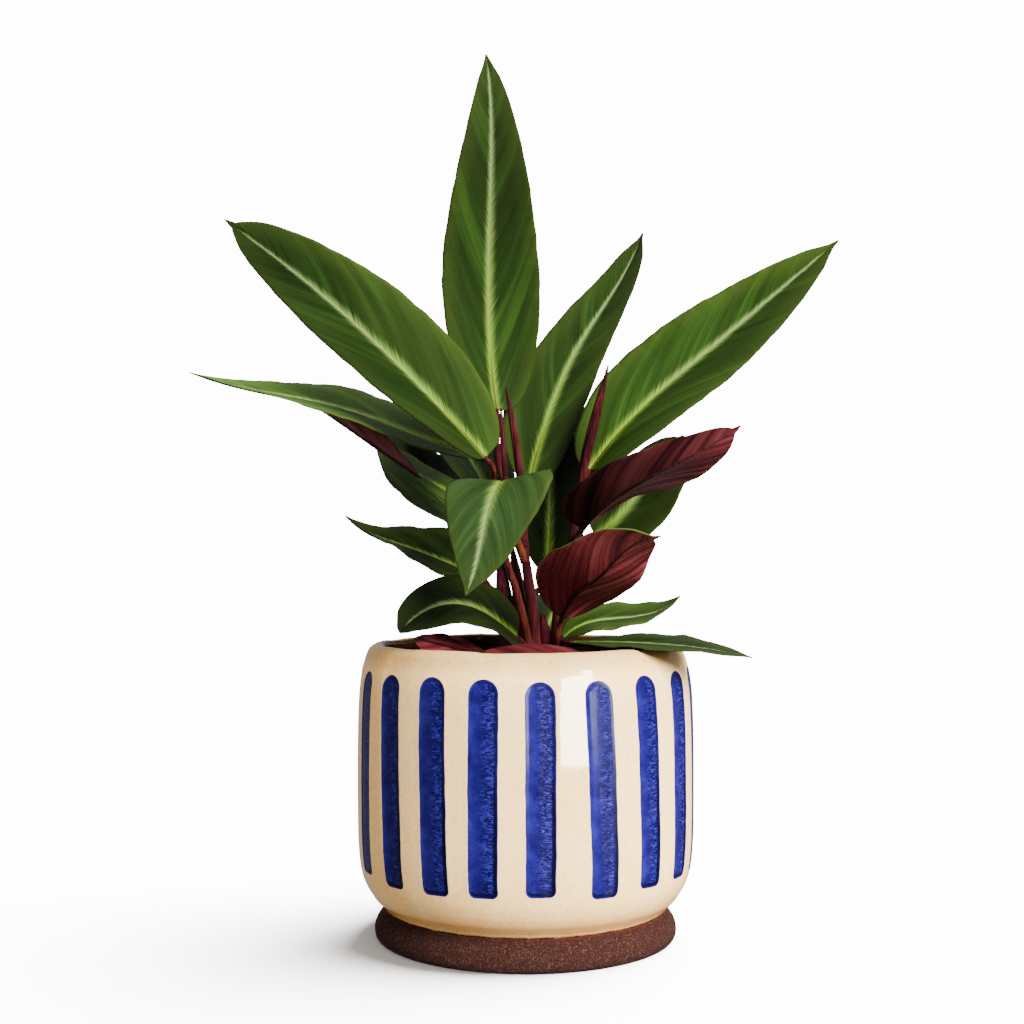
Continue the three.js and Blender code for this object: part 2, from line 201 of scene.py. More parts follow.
def settle(piece: Piece, body: str, nodes: Sequence[str]) -> None:
    """Fixes a finished piece to the frame.

    Args:
        piece: The piece, in its place.
        body: The CAD body that it moves with.
        nodes: The CAD nodes that it stands for.
    """
    choose(piece)
    bpy.ops.object.transform_apply(location=True, rotation=True, scale=True)
    bpy.ops.object.shade_smooth()
    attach(piece, body)
    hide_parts(*nodes)
    faces = sum(len(p.vertices) - 2 for p in piece.data.polygons)
    log.info("%s: %d triangles", piece.name, faces)


def smooth_line(points: Sequence[Sequence[float]], count: int) -> Array:
    """Runs a smooth line through points, as a bent rod would.

    Args:
        points: The points to pass.
        count: How many evenly spaced points to give back.

    Returns:
        The points of the line, one in each row.
    """
    knots = np.asarray(points, float)
    gaps = np.linalg.norm(np.diff(knots, axis=0), axis=1) ** 0.5
    first, last = 2 * knots[0] - knots[1], 2 * knots[-1] - knots[-2]
    knots = np.vstack([first, knots, last])
    times = np.concatenate([[0], np.cumsum([gaps[0], *gaps, gaps[-1]])])
    line = []
    for k in range(1, len(knots) - 2):
        t0, t1, t2, t3 = times[k - 1:k + 3]
        t = np.linspace(t1, t2, 24, endpoint=False)[:, None]
        a = (t1 - t) / (t1 - t0) * knots[k - 1] + (t - t0) / (t1 - t0) * knots[k]
        b = (t2 - t) / (t2 - t1) * knots[k] + (t - t1) / (t2 - t1) * knots[k + 1]
        c = (t3 - t) / (t3 - t2) * knots[k + 1] + (t - t2) / (t3 - t2) * knots[k + 2]
        ab = (t2 - t) / (t2 - t0) * a + (t - t0) / (t2 - t0) * b
        bc = (t3 - t) / (t3 - t1) * b + (t - t1) / (t3 - t1) * c
        line.append((t2 - t) / (t2 - t1) * ab + (t - t1) / (t2 - t1) * bc)
    line = np.vstack([*line, knots[-2][None]])
    run = np.concatenate([[0], np.cumsum(np.linalg.norm(np.diff(line, axis=0), axis=1))])
    places = np.linspace(0, run[-1], count)
    return np.stack([np.interp(places, run, line[:, k]) for k in range(line.shape[1])], 1)


def along(stations: Sequence[float], s: Array) -> Array:
    """Reads a smooth value along evenly spaced stations.

    Args:
        stations: The values at the stations.
        s: Places from 0 to 1.

    Returns:
        The value at each place.
    """
    values = np.asarray(stations, float)
    last = len(values) - 1
    slopes = np.gradient(values) if last > 1 else np.full(2, values[1] - values[0])
    slopes[0], slopes[-1] = values[1] - values[0], values[-1] - values[-2]
    i = np.minimum((s * last).astype(int), last - 1)
    t = s * last - i
    a, b, slope_a, slope_b = values[i], values[i + 1], slopes[i], slopes[i + 1]
    return ((2 * t**3 - 3 * t**2 + 1) * a + (t**3 - 2 * t**2 + t) * slope_a
            + (3 * t**2 - 2 * t**3) * b + (t**3 - t**2) * slope_b)


def step(x: Array, low: float, high: float) -> Array:
    """Rises smoothly from 0 at low to 1 at high."""
    t = np.clip((x - low) / (high - low), 0, 1)
    return t * t * (3 - 2 * t)


def drift(seed: int, x: Array, pitch: float, period: float = 0) -> Array:
    """Wanders smoothly between about -1 and 1, as an uneven hand does.

    Args:
        seed: Which of the many wanderings to take.
        x: Places along the edge.
        pitch: Distance between turns, in the units of x.
        period: Length after which the wandering repeats, or 0.

    Returns:
        The wandering at each place.
    """
    rng = np.random.default_rng(seed)
    total = np.zeros_like(x, float)
    for scale in (1.0, 0.53, 0.31):
        turn = 2 * math.pi / (pitch * 4 * scale)
        if period:
            turn = 2 * math.pi * max(1, round(period / (pitch * 4 * scale))) / period
        total += scale * np.sin(turn * x + rng.uniform(0, 2 * math.pi))
    return total / 1.4


# Finishes ---------------------------------------------------------------------------------


@dataclass(frozen=True)
class GlazedStoneware:
    """Iron-brown stoneware, thrown, with cream and cobalt glazes fired over it.

    The numbers are the pitches of its patterns in mm, and wrinkle has one across a stripe and
    one along it.
    """

    cream: str = "#f6cc85"
    cream_thick: str = "#f8d9a0"
    tan: str = "#eeb35a"
    # Browns the crazing lines, and is painted over the waist as shade.
    pooled_and_shade: str = "#a8642a"
    liner: str = "#2a170a"
    cobalt: str = "#130b46"
    cobalt_deep: str = "#0b062f"
    cobalt_milky: str = "#262474"
    # Nearly black cobalt where it runs together, and painted shade down the right edge.
    cobalt_pooled_and_shade: str = "#05031f"
    clay: str = "#26120d"
    clay_dark: str = "#170a07"
    clay_light: str = "#351e18"
    clay_speck: str = "#62473a"
    rust: str = "#5a2109"
    ripple: float = 12.5
    drip: float = 16.667
    mottle: float = 1.42857
    craze: float = 3.0303
    cobalt_patch: float = 6.6667
    cobalt_grain: float = 0.384615
    wrinkle: tuple[float, float] = (2.94118, 0.952381)
    grog: float = 0.666667

    def material(self) -> Material:
        """Mixes the glazes and the bare clay by the marks on the pot's surface.

        Returns:
            The material, which reads the attributes stripe, glaze, pool, hollow, thin and
            lining and the map "channel".
        """
        # A fired glaze is a thin glass, smooth and sharp in its reflections. Painted shade turns
        # the cream tan on the side away from the light and browns it over the waist, the cream is
        # tanner above the foot and at the lip, and the dark brown liner is darkened as painted
        # shade. The bare clay under it is matt, with light grains of grog.
        material, tree, shader = new_material("cream_and_cobalt_glaze_on_stoneware")
        place = add_node(tree, "ShaderNodeTexCoord").outputs["Object"]
        stripe, glaze, pool, hollow, thin, lining = (
            add_node(tree, "ShaderNodeAttribute", {"attribute_name": name}).outputs["Fac"]
            for name in ("stripe", "glaze", "pool", "hollow", "thin", "lining"))
        cream = self._cream(tree, place, hollow, thin)
        # Inside, the cream gives way to the dark liner; on the lip and just below it the liner's
        # brown is mixed in as painted shade.
        lined_and_shaded = add_node(
            tree, "ShaderNodeMix", {"data_type": "RGBA", 7: self.liner}, {0: lining, 6: cream})
        cobalt, cobalt_height = self._cobalt(tree, place, stripe, pool)
        inside = add_node(
            tree, "ShaderNodeMapRange", {"From Min": 0.15, "From Max": -0.1}, {"Value": stripe})
        glazed = add_node(
            tree, "ShaderNodeMix", {"data_type": "RGBA"},
            {0: inside.outputs[0], 6: lined_and_shaded.outputs[2], 7: cobalt})
        clay, grain = self._clay(tree, place, glaze)
        bare = add_node(
            tree, "ShaderNodeMapRange", {"From Min": 0.15, "From Max": -0.1}, {"Value": glaze})
        colour = add_node(
            tree, "ShaderNodeMix", {"data_type": "RGBA"},
            {0: bare.outputs[0], 6: glazed.outputs[2], 7: clay})
        # Cobalt fires to a slightly duller skin than the clear cream.
        skin = add_node(
            tree, "ShaderNodeMapRange", {"To Min": 0.05, "To Max": 0.18},
            {"Value": inside.outputs[0]})
        rough = add_node(
            tree, "ShaderNodeMix", {3: 0.9}, {0: bare.outputs[0], 2: skin.outputs[0]})
        wet = add_node(
            tree, "ShaderNodeMapRange", {"To Min": 0.5, "To Max": 0.05},
            {"Value": inside.outputs[0]})
        shine = add_node(
            tree, "ShaderNodeMix", {3: 0.06}, {0: bare.outputs[0], 2: wet.outputs[0]})
        # The glaze lies in slow ripples, so its reflections waver.
        ripple = add_node(
            tree, "ShaderNodeTexNoise", {"Scale": scale_of(self.ripple), "Detail": 1.0},
            {"Vector": place})
        soft = add_node(
            tree, "ShaderNodeMath", {"operation": "MULTIPLY_ADD", 1: 0.2},
            {0: ripple.outputs["Fac"], 2: cobalt_height})
        height = add_node(
            tree, "ShaderNodeMix", {}, {0: bare.outputs[0], 2: soft.outputs[0], 3: grain})
        bump = add_node(
            tree, "ShaderNodeBump", {"Strength": 1.0, "Distance": 0.0006},
            {"Height": height.outputs[0]})
        tree.links.new(colour.outputs[2], shader.inputs["Base Color"])
        tree.links.new(rough.outputs[0], shader.inputs["Roughness"])
        tree.links.new(shine.outputs[0], shader.inputs["Specular IOR Level"])
        tree.links.new(bump.outputs[0], shader.inputs["Normal"])
        shader.inputs["IOR"].default_value = 1.52
        return material

    def _cream(self, tree: Tree, place: Socket, hollow: Socket, thin: Socket) -> Socket:
        """Clouds the cream glaze, in drips four times as long as wide, with a fine mottle, and
        paints shade on it.

        Args:
            tree: The node tree.
            place: Object coordinates.
            hollow: How far painted shade browns the cream over the waist, 0 to 1.
            thin: How far the mottle is pushed towards tan, 0 to 1: painted shade on the side away
                from the light, and tanner cream above the foot and at the lip.

        Returns:
            The cream glaze's colour.
        """
        drips = add_node(tree, "ShaderNodeMapping", {"Scale": (1.0, 1.0, 0.25)}, {"Vector": place})
        cloud = add_node(
            tree, "ShaderNodeTexNoise",
            {"Scale": scale_of(self.drip), "Detail": 4.0, "Roughness": 0.6},
            {"Vector": drips.outputs[0]})
        fine = add_node(
            tree, "ShaderNodeTexNoise", {"Scale": scale_of(self.mottle), "Detail": 2.0},
            {"Vector": place})
        mottle = add_node(
            tree, "ShaderNodeMix", {0: 0.55}, {2: cloud.outputs["Fac"], 3: fine.outputs["Fac"]})
        # thin pushes the mottle to tan: painted shade on the side away from the light, and a tanner
        # cream above the foot and at the lip.
        mottle_and_shade = add_node(
            tree, "ShaderNodeMath", {"operation": "MULTIPLY_ADD", 1: -0.2},
            {0: thin, 2: mottle.outputs[0]})
        tone = add_node(
            tree, "ShaderNodeValToRGB",
            {"stops": [(0.24, self.tan), (0.5, self.cream), (0.76, self.cream_thick)]},
            {0: mottle_and_shade.outputs[0]})
        # The cream is crazed in a net of hairlines, too faint to see from afar.
        crackle = add_node(
            tree, "ShaderNodeTexVoronoi",
            {"feature": "DISTANCE_TO_EDGE", "Scale": scale_of(self.craze)}, {"Vector": place})
        line = add_node(
            tree, "ShaderNodeMapRange", {"From Max": 0.05, "To Min": 0.1, "To Max": 0.0},
            {"Value": crackle.outputs["Distance"]})
        crazed = add_node(
            tree, "ShaderNodeMix", {"data_type": "RGBA", 7: self.pooled_and_shade},
            {0: line.outputs[0], 6: tone.outputs[0]})
        # hollow browns the cream over the waist as painted shade.
        pooled_and_shade = add_node(
            tree, "ShaderNodeMix", {"data_type": "RGBA", 7: self.pooled_and_shade},
            {0: hollow, 6: crazed.outputs[2]})
        return pooled_and_shade.outputs[2]

    def _cobalt(
        self, tree: Tree, place: Socket, stripe: Socket, pool: Socket,
    ) -> tuple[Socket, Socket]:
        """Floods the channels with cobalt, combed on one side and nearly black where it runs
        together, with painted shade down the right edge and a painted highlight to the left.

        Args:
            tree: The node tree.
            place: Object coordinates.
            stripe: Distance outside the stripe's edge in mm, negative within it.
            pool: How dark the cobalt is painted near its edge, 0 to 1: where it runs together, and
            as painted shade down the right edge.

        Returns:
            The colour and the height of the wrinkles that the brush left, -0.5 to 0.5.
        """
        mark = add_node(tree, "ShaderNodeUVMap", {"uv_map": "channel"}).outputs[0]
        parts = add_node(tree, "ShaderNodeSeparateXYZ", links={0: mark})
        # The cobalt lies in patches that are broken up by fine grains.
        patch = add_node(
            tree, "ShaderNodeTexNoise",
            {"Scale": scale_of(self.cobalt_patch), "Detail": 4.0, "Roughness": 0.6},
            {"Vector": place})
        grain = add_node(
            tree, "ShaderNodeTexNoise",
            {"Scale": scale_of(self.cobalt_grain), "Detail": 2.0, "Roughness": 0.6},
            {"Vector": place})
        clouded = add_node(
            tree, "ShaderNodeMix", {0: 0.5}, {2: patch.outputs["Fac"], 3: grain.outputs["Fac"]})
        mottle = add_node(
            tree, "ShaderNodeMapRange", {"To Min": 0.18, "To Max": 0.82},
            {"Value": clouded.outputs[0]})
        height = self._wrinkles(tree, mark, parts.outputs[0], stripe)
        combed = add_node(
            tree, "ShaderNodeMath", {"operation": "MULTIPLY_ADD", 1: 1.5},
            {0: height, 2: mottle.outputs[0]})
        # A painted highlight lightens the left half of the stripe, where its wall faces the light,
        # and the right half is a little darker.
        left_highlight = add_node(
            tree, "ShaderNodeMapRange",
            {"From Min": 0.0, "From Max": -0.045, "To Min": -0.02, "To Max": 0.05},
            {"Value": parts.outputs[0]})
        depth = add_node(
            tree, "ShaderNodeMath", {"operation": "ADD"},
            {0: combed.outputs[0], 1: left_highlight.outputs[0]})
        floor = add_node(
            tree, "ShaderNodeValToRGB",
            {"stops": [(0.34, self.cobalt_deep), (0.5, self.cobalt), (0.68, self.cobalt_milky)]},
            {0: depth.outputs[0]})
        # The cobalt turns nearly black where it runs together, and down the right edge as painted
        # shade.
        grainy_pool_and_shade = add_node(
            tree, "ShaderNodeMath", {"operation": "MULTIPLY_ADD", 1: 0.35},
            {0: grain.outputs["Fac"], 2: pool})
        pooled_and_shade = add_node(
            tree, "ShaderNodeMapRange", {"From Min": 0.42, "From Max": 0.75, "To Max": 0.92},
            {"Value": grainy_pool_and_shade.outputs[0]})
        colour = add_node(
            tree, "ShaderNodeMix", {"data_type": "RGBA", 7: self.cobalt_pooled_and_shade},
            {0: pooled_and_shade.outputs[0], 6: floor.outputs[0]})
        return colour.outputs[2], height

    def _wrinkles(self, tree: Tree, mark: Socket, across: Socket, stripe: Socket) -> Socket:
        """Wrinkles the cobalt as the brush left it, over the right half of a stripe.

        Args:
            tree: The node tree.
            mark: Place across and along the stripe in units of 100 mm.
            across: The first of the two by itself.
            stripe: Distance outside the stripe's edge in mm, negative within it.

        Returns:
            The wrinkles' height, -0.5 to 0.5.
        """
        wide, long = (scale_of(pitch, SHEET) for pitch in self.wrinkle)
        stretch = add_node(
            tree, "ShaderNodeMapping", {"Scale": (wide, long, 1.0)}, {"Vector": mark})
        wrinkle = add_node(
            tree, "ShaderNodeTexNoise", {"Scale": 1.0, "Detail": 2.0, "Distortion": 1.6},
            {"Vector": stretch.outputs[0]})
        half = add_node(
            tree, "ShaderNodeMapRange", {"From Min": -0.02, "From Max": 0.015}, {"Value": across})
        within = add_node(
            tree, "ShaderNodeMapRange", {"From Min": -0.9, "From Max": -1.7}, {"Value": stripe})
        mask = add_node(
            tree, "ShaderNodeMath", {"operation": "MULTIPLY"},
            {0: half.outputs[0], 1: within.outputs[0]})
        centred = add_node(
            tree, "ShaderNodeMath", {"operation": "SUBTRACT", 1: 0.5}, {0: wrinkle.outputs["Fac"]})
        height = add_node(
            tree, "ShaderNodeMath", {"operation": "MULTIPLY"},
            {0: centred.outputs[0], 1: mask.outputs[0]})
        return height.outputs[0]

    def _clay(self, tree: Tree, place: Socket, glaze: Socket) -> tuple[Socket, Socket]:
        """Speckles the bare clay and flashes it rust where the glaze ends.

        Args:
            tree: The node tree.
            place: Object coordinates.
            glaze: Height above the glaze's lower edge in mm.

        Returns:
            The colour and the height of the grain, 0 to 1.
        """
        body = add_node(
            tree, "ShaderNodeTexNoise",
            {"Scale": scale_of(self.grog), "Detail": 4.0, "Roughness": 0.7}, {"Vector": place})
        tone = add_node(
            tree, "ShaderNodeValToRGB",
            {"stops": [(0.34, self.clay_dark), (0.47, self.clay), (0.6, self.clay_light),
                       (0.69, self.clay_speck)]},
            {0: body.outputs["Fac"]})
        flash = add_node(
            tree, "ShaderNodeMapRange", {"From Min": -1.2, "From Max": -0.1, "To Max": 0.6},
            {"Value": glaze})
        colour = add_node(
            tree, "ShaderNodeMix", {"data_type": "RGBA", 7: self.rust},
            {0: flash.outputs[0], 6: tone.outputs[0]})
        return colour.outputs[2], body.outputs["Fac"]


class Tone(Enum):
    """How green a blade is: the deep, middle and light green of its upper face."""

    GREEN = ("#0a1402", "#122205", "#20350b")
    PALE = ("#111f0a", "#1d3012", "#2f441e")
    DARK = ("#070d02", "#0e1904", "#1b2a0c")


@dataclass(frozen=True)
class WaxyLeaf:
    """The upper face of a leaf: green tissue under a waxy skin, with a pale feathered midrib.

    The numbers are the pitches of its patterns in mm, and barb has one along the blade and one
    along a side vein.
    """

    tone: Tone
    feather: str = "#344914"
    feather_tip: str = "#3b4a2a"
    core: str = "#5b731e"
    core_tip: str = "#647243"
    midrib: str = "#331a0d"
    margin: str = "#24300b"
    olive: str = "#161f06"
    band: float = 11.7647
    age: float = 25.0
    barb: tuple[float, float] = (0.555556, 12.5)

    def material(self) -> Material:
        """Draws the feather, the side veins and the wax.

        Returns:
            The material, which reads the map "veins" and the attributes seed, rib, edge,
            station and bright.
        """
        # Leaf wax gives a soft sheen that breaks into grey streaks along the side veins.
        material, tree, shader = new_material(f"waxy_leaf_skin_{self.tone.name.lower()}")
        seed, rib, edge, station, bright = (
            add_node(tree, "ShaderNodeAttribute", {"attribute_name": name}).outputs["Fac"]
            for name in ("seed", "rib", "edge", "station", "bright"))
        sheet = blade_sheet(tree, seed)
        streaks, bands = vein_streaks(tree, sheet, self.band)
        tissue = self._tissue(tree, sheet, streaks, bands, edge)
        # Painted light and shade: bright makes each half of the tissue lighter or darker.
        lit = add_node(
            tree, "ShaderNodeVectorMath", {"operation": "SCALE"}, {0: tissue, "Scale": bright})
        ragged = self._barbs(tree, sheet, streaks, rib)
        feather = add_node(
            tree, "ShaderNodeMapRange", {"From Min": 1.15, "From Max": 0.5, "To Max": 0.9},
            {"Value": ragged})
        # The feather takes the painted light and shade of bright as well, at its square root.
        root = add_node(tree, "ShaderNodeMath", {"operation": "POWER", 1: 0.5}, {0: bright})
        plume = add_node(
            tree, "ShaderNodeVectorMath", {"operation": "SCALE"},
            {0: self._plume(tree, ragged, station), "Scale": root.outputs[0]})
        feathered = add_node(
            tree, "ShaderNodeMix", {"data_type": "RGBA"},
            {0: feather.outputs[0], 6: lit.outputs[0], 7: plume.outputs[0]})
        # Next to the stalk the midrib is a thin line, red like the stalk.
        near = add_node(
            tree, "ShaderNodeMapRange", {"From Min": 0.2, "From Max": 0.08}, {"Value": station})
        line = add_node(
            tree, "ShaderNodeMapRange", {"From Min": 0.28, "From Max": 0.12, "To Max": 0.85},
            {"Value": rib})
        red = add_node(
            tree, "ShaderNodeMath", {"operation": "MULTIPLY"},
            {0: near.outputs[0], 1: line.outputs[0]})
        colour = add_node(
            tree, "ShaderNodeMix", {"data_type": "RGBA", 7: self.midrib},
            {0: red.outputs[0], 6: feathered.outputs[2]})
        rough = add_node(
            tree, "ShaderNodeMapRange", {"To Min": 0.3, "To Max": 0.55}, {"Value": bands})
        bump = add_node(
            tree, "ShaderNodeBump", {"Strength": 0.7, "Distance": 0.0004}, {"Height": streaks})
        tree.links.new(colour.outputs[2], shader.inputs["Base Color"])
        tree.links.new(rough.outputs[0], shader.inputs["Roughness"])
        tree.links.new(bump.outputs[0], shader.inputs["Normal"])
        shader.inputs["IOR"].default_value = 1.4
        shader.inputs["Specular IOR Level"].default_value = 0.4
        return material

    def _tissue(
        self, tree: Tree, sheet: Socket, streaks: Socket, bands: Socket, edge: Socket,
    ) -> Socket:
        """Colours the green tissue between the feather and the margin.

        Args:
            tree: The node tree.
            sheet: The blade's own coordinates.
            streaks: Fine streaks along the side veins, 0 to 1.
            bands: Broad bands along the side veins, 0 to 1.
            edge: Distance from the margin in mm.

        Returns:
            The tissue's colour.
        """
        deep, middle, light = self.tone.value
        blend = add_node(tree, "ShaderNodeMix", {0: 0.3}, {2: bands, 3: streaks})
        green = add_node(
            tree, "ShaderNodeValToRGB", {"stops": [(0.3, deep), (0.5, middle), (0.7, light)]},
            {0: blend.outputs[0]})
        # Older tissue turns olive in patches.
        age = add_node(
            tree, "ShaderNodeTexNoise", {"Scale": scale_of(self.age, SHEET), "Detail": 2.0},
            {"Vector": sheet})
        aged = add_node(
            tree, "ShaderNodeMapRange", {"From Min": 0.45, "From Max": 0.7, "To Max": 0.7},
            {"Value": age.outputs["Fac"]})
        tissue = add_node(
            tree, "ShaderNodeMix", {"data_type": "RGBA", 7: self.olive},
            {0: aged.outputs[0], 6: green.outputs[0]})
        # The outer 9 mm are thinner and yellower.
        sunlit = add_node(
            tree, "ShaderNodeMapRange", {"From Min": 9.0, "From Max": 0.2, "To Max": 0.55},
            {"Value": edge})
        bordered = add_node(
            tree, "ShaderNodeMix", {"data_type": "RGBA", 7: self.margin},
            {0: sunlit.outputs[0], 6: tissue.outputs[2]})
        return bordered.outputs[2]

    def _barbs(self, tree: Tree, sheet: Socket, streaks: Socket, rib: Socket) -> Socket:
        """Frays the feather into fine barbs that run out along the side veins.

        Args:
            tree: The node tree.
            sheet: The blade's own coordinates.
            streaks: Fine streaks along the side veins, 0 to 1.
            rib: Distance from the midrib in widths of the feather.

        Returns:
            The distance from the midrib, with the barbs in it.
        """
        across, out = (scale_of(pitch, SHEET) for pitch in self.barb)
        close = add_node(
            tree, "ShaderNodeMapping", {"Scale": (across, out, 3.1)}, {"Vector": sheet})
        hairs = add_node(
            tree, "ShaderNodeTexNoise", {"Scale": 1.0, "Detail": 3.0},
            {"Vector": close.outputs[0]})
        hairy = add_node(
            tree, "ShaderNodeMix", {0: 0.65}, {2: streaks, 3: hairs.outputs["Fac"]})
        barbs = add_node(
            tree, "ShaderNodeMath", {"operation": "MULTIPLY_ADD", 1: -3.0, 2: 1.5},
            {0: hairy.outputs[0]})
        ragged = add_node(
            tree, "ShaderNodeMath", {"operation": "ADD"}, {0: rib, 1: barbs.outputs[0]})
        return ragged.outputs[0]

    def _plume(self, tree: Tree, ragged: Socket, station: Socket) -> Socket:
        """Pales the feather from yellow green at the stalk to a whitish grey at the tip.

        Args:
            tree: The node tree.
            ragged: Distance from the midrib, with the barbs in it.
            station: Place along the blade, 0 to 1.

        Returns:
            The feather's colour.
        """
        far = add_node(
            tree, "ShaderNodeMapRange", {"From Min": 0.15, "From Max": 0.8}, {"Value": station})
        barb = add_node(
            tree, "ShaderNodeMix", {"data_type": "RGBA", 6: self.feather, 7: self.feather_tip},
            {0: far.outputs[0]})
        core = add_node(
            tree, "ShaderNodeMapRange", {"From Min": 0.7, "From Max": 0.1}, {"Value": ragged})
        quill = add_node(
            tree, "ShaderNodeMix", {"data_type": "RGBA", 6: self.core, 7: self.core_tip},
            {0: far.outputs[0]})
        plume = add_node(
            tree, "ShaderNodeMix", {"data_type": "RGBA"},
            {0: core.outputs[0], 6: barb.outputs[2], 7: quill.outputs[2]})
        return plume.outputs[2]


def blade_sheet(tree: Tree, seed: Socket) -> Socket:
    """Lays a blade out flat for its patterns, each blade on a sheet of its own.

    Args:
        tree: The node tree.
        seed: The blade's own number.

    Returns:
        Place along and across the veins in units of 100 mm, with the blade's seed.
    """
    veins = add_node(tree, "ShaderNodeUVMap", {"uv_map": "veins"}).outputs[0]
    parts = add_node(tree, "ShaderNodeSeparateXYZ", links={0: veins})
    sheet = add_node(
        tree, "ShaderNodeCombineXYZ", links={0: parts.outputs[0], 1: parts.outputs[1], 2: seed})
    return sheet.outputs[0]


def vein_streaks(tree: Tree, sheet: Socket, band: float) -> tuple[Socket, Socket]:
    """Streaks a blade along its side veins.

    Args:
        tree: The node tree.
        sheet: Place along and across the veins in units of 100 mm, with the blade's seed.
        band: How far apart the broad bands stand in mm.

    Returns:
        Fine streaks about 1 mm apart and the broad bands, both from 0 to 1.
    """
    streak_scale = (scale_of(1.0, SHEET), scale_of(16.667, SHEET), 3.1)
    close = add_node(tree, "ShaderNodeMapping", {"Scale": streak_scale}, {"Vector": sheet})
    streaks = add_node(
        tree, "ShaderNodeTexNoise", {"Scale": 1.0, "Detail": 3.0, "Roughness": 0.6},
        {"Vector": close.outputs[0]})
    band_scale = (scale_of(band, SHEET), scale_of(45.455, SHEET), 1.7)
    wide = add_node(tree, "ShaderNodeMapping", {"Scale": band_scale}, {"Vector": sheet})
    bands = add_node(
        tree, "ShaderNodeTexNoise", {"Scale": 1.0, "Detail": 2.0, "Roughness": 0.5},
        {"Vector": wide.outputs[0]})
    return streaks.outputs["Fac"], bands.outputs["Fac"]


@dataclass(frozen=True)
class MaroonUnderside:
    """The lower face of a leaf, wine red, with dark bands along the side veins.

    band is how far apart they stand in mm.
    """

    wine: str = "#330d10"
    dark: str = "#180408"
    light: str = "#4c2022"
    midrib: str = "#26090a"
    band: float = 7.6923

    def material(self) -> Material:
        """Bands the maroon along the veins.

        Returns:
            The material, which reads the map "veins" and the attributes seed, rib and bright.
        """
        # The red tissue is matt with a faint satin, and has no wax streaks.
        material, tree, shader = new_material("maroon_leaf_underside")
        seed, rib, bright = (
            add_node(tree, "ShaderNodeAttribute", {"attribute_name": name}).outputs["Fac"]
            for name in ("seed", "rib", "bright"))
        streaks, bands = vein_streaks(tree, blade_sheet(tree, seed), self.band)
        blend = add_node(tree, "ShaderNodeMix", {0: 0.12}, {2: bands, 3: streaks})
        red = add_node(
            tree, "ShaderNodeValToRGB",
            {"stops": [(0.36, self.dark), (0.48, self.wine), (0.68, self.light)]},
            {0: blend.outputs[0]})
        line = add_node(
            tree, "ShaderNodeMapRange", {"From Min": 0.3, "From Max": 0.12, "To Max": 0.7},
            {"Value": rib})
        ribbed = add_node(
            tree, "ShaderNodeMix", {"data_type": "RGBA", 7: self.midrib},
            {0: line.outputs[0], 6: red.outputs[0]})
        # Painted light and shade: bright makes the red lighter or darker, as the leaf is lit.
        colour = add_node(
            tree, "ShaderNodeVectorMath", {"operation": "SCALE"},
            {0: ribbed.outputs[2], "Scale": bright})
        bump = add_node(
            tree, "ShaderNodeBump", {"Strength": 0.6, "Distance": 0.0004}, {"Height": streaks})
        tree.links.new(colour.outputs[0], shader.inputs["Base Color"])
        tree.links.new(bump.outputs[0], shader.inputs["Normal"])
        shader.inputs["Roughness"].default_value = 0.5
        shader.inputs["IOR"].default_value = 1.4
        shader.inputs["Specular IOR Level"].default_value = 0.25
        return material


@dataclass(frozen=True)
class StemSkin:
    """Red skin of the canes, leaf stalks and rolled leaves, with tan streaks.

    fibre gives how wide and how long the streaks are in mm, and patch how far apart the ripe
    patches stand.
    """

    red: str = "#27070d"
    dark: str = "#140407"
    light: str = "#41151b"
    tan: str = "#4a2012"
    tan_light: str = "#653c22"
    fibre: tuple[float, float] = (0.83333, 22.2222)
    patch: float = 14.2857

    def material(self) -> Material:
        """Streaks the stems lengthwise.

        Returns:
            The material, which reads the attribute tan.
        """
        # Fleshy stems have a thin smooth skin with fibres under it, and ripen in patches.
        material, tree, shader = new_material("red_stem_skin")
        place = add_node(tree, "ShaderNodeTexCoord").outputs["Object"]
        ripe = add_node(tree, "ShaderNodeAttribute", {"attribute_name": "tan"}).outputs["Fac"]
        wide, long = (scale_of(pitch) for pitch in self.fibre)
        fibres = add_node(
            tree, "ShaderNodeMapping", {"Scale": (wide, wide, long)}, {"Vector": place})
        streaks = add_node(
            tree, "ShaderNodeTexNoise", {"Scale": 1.0, "Detail": 3.0},
            {"Vector": fibres.outputs[0]})
        patch = add_node(
            tree, "ShaderNodeTexNoise", {"Scale": scale_of(self.patch), "Detail": 2.0},
            {"Vector": place})
        blend = add_node(
            tree, "ShaderNodeMix", {0: 0.55}, {2: patch.outputs["Fac"], 3: streaks.outputs["Fac"]})
        red = add_node(
            tree, "ShaderNodeValToRGB",
            {"stops": [(0.36, self.dark), (0.5, self.red), (0.7, self.light)]},
            {0: blend.outputs[0]})
        tan = add_node(
            tree, "ShaderNodeValToRGB",
            {"stops": [(0.36, self.red), (0.52, self.tan), (0.7, self.tan_light)]},
            {0: blend.outputs[0]})
        colour = add_node(
            tree, "ShaderNodeMix", {"data_type": "RGBA"},
            {0: ripe, 6: red.outputs[0], 7: tan.outputs[0]})
        bump = add_node(
            tree, "ShaderNodeBump", {"Strength": 0.3, "Distance": 0.0003},
            {"Height": streaks.outputs["Fac"]})
        tree.links.new(colour.outputs[2], shader.inputs["Base Color"])
        tree.links.new(bump.outputs[0], shader.inputs["Normal"])
        shader.inputs["Roughness"].default_value = 0.38
        shader.inputs["IOR"].default_value = 1.4
        shader.inputs["Specular IOR Level"].default_value = 0.35
        return material


@dataclass(frozen=True)
class PlantSkins:
    """The plant's finishes: the upper face of each tone, the underside and the stems."""

    upper: Mapping[Tone, Material]
    under: Material
    stem: Material

    @classmethod
    def mixed(cls) -> "PlantSkins":
        """Mixes each finish once, for all the pieces that share it."""
        upper = {tone: WaxyLeaf(tone).material() for tone in Tone}
        return cls(upper, MaroonUnderside().material(), StemSkin().material())


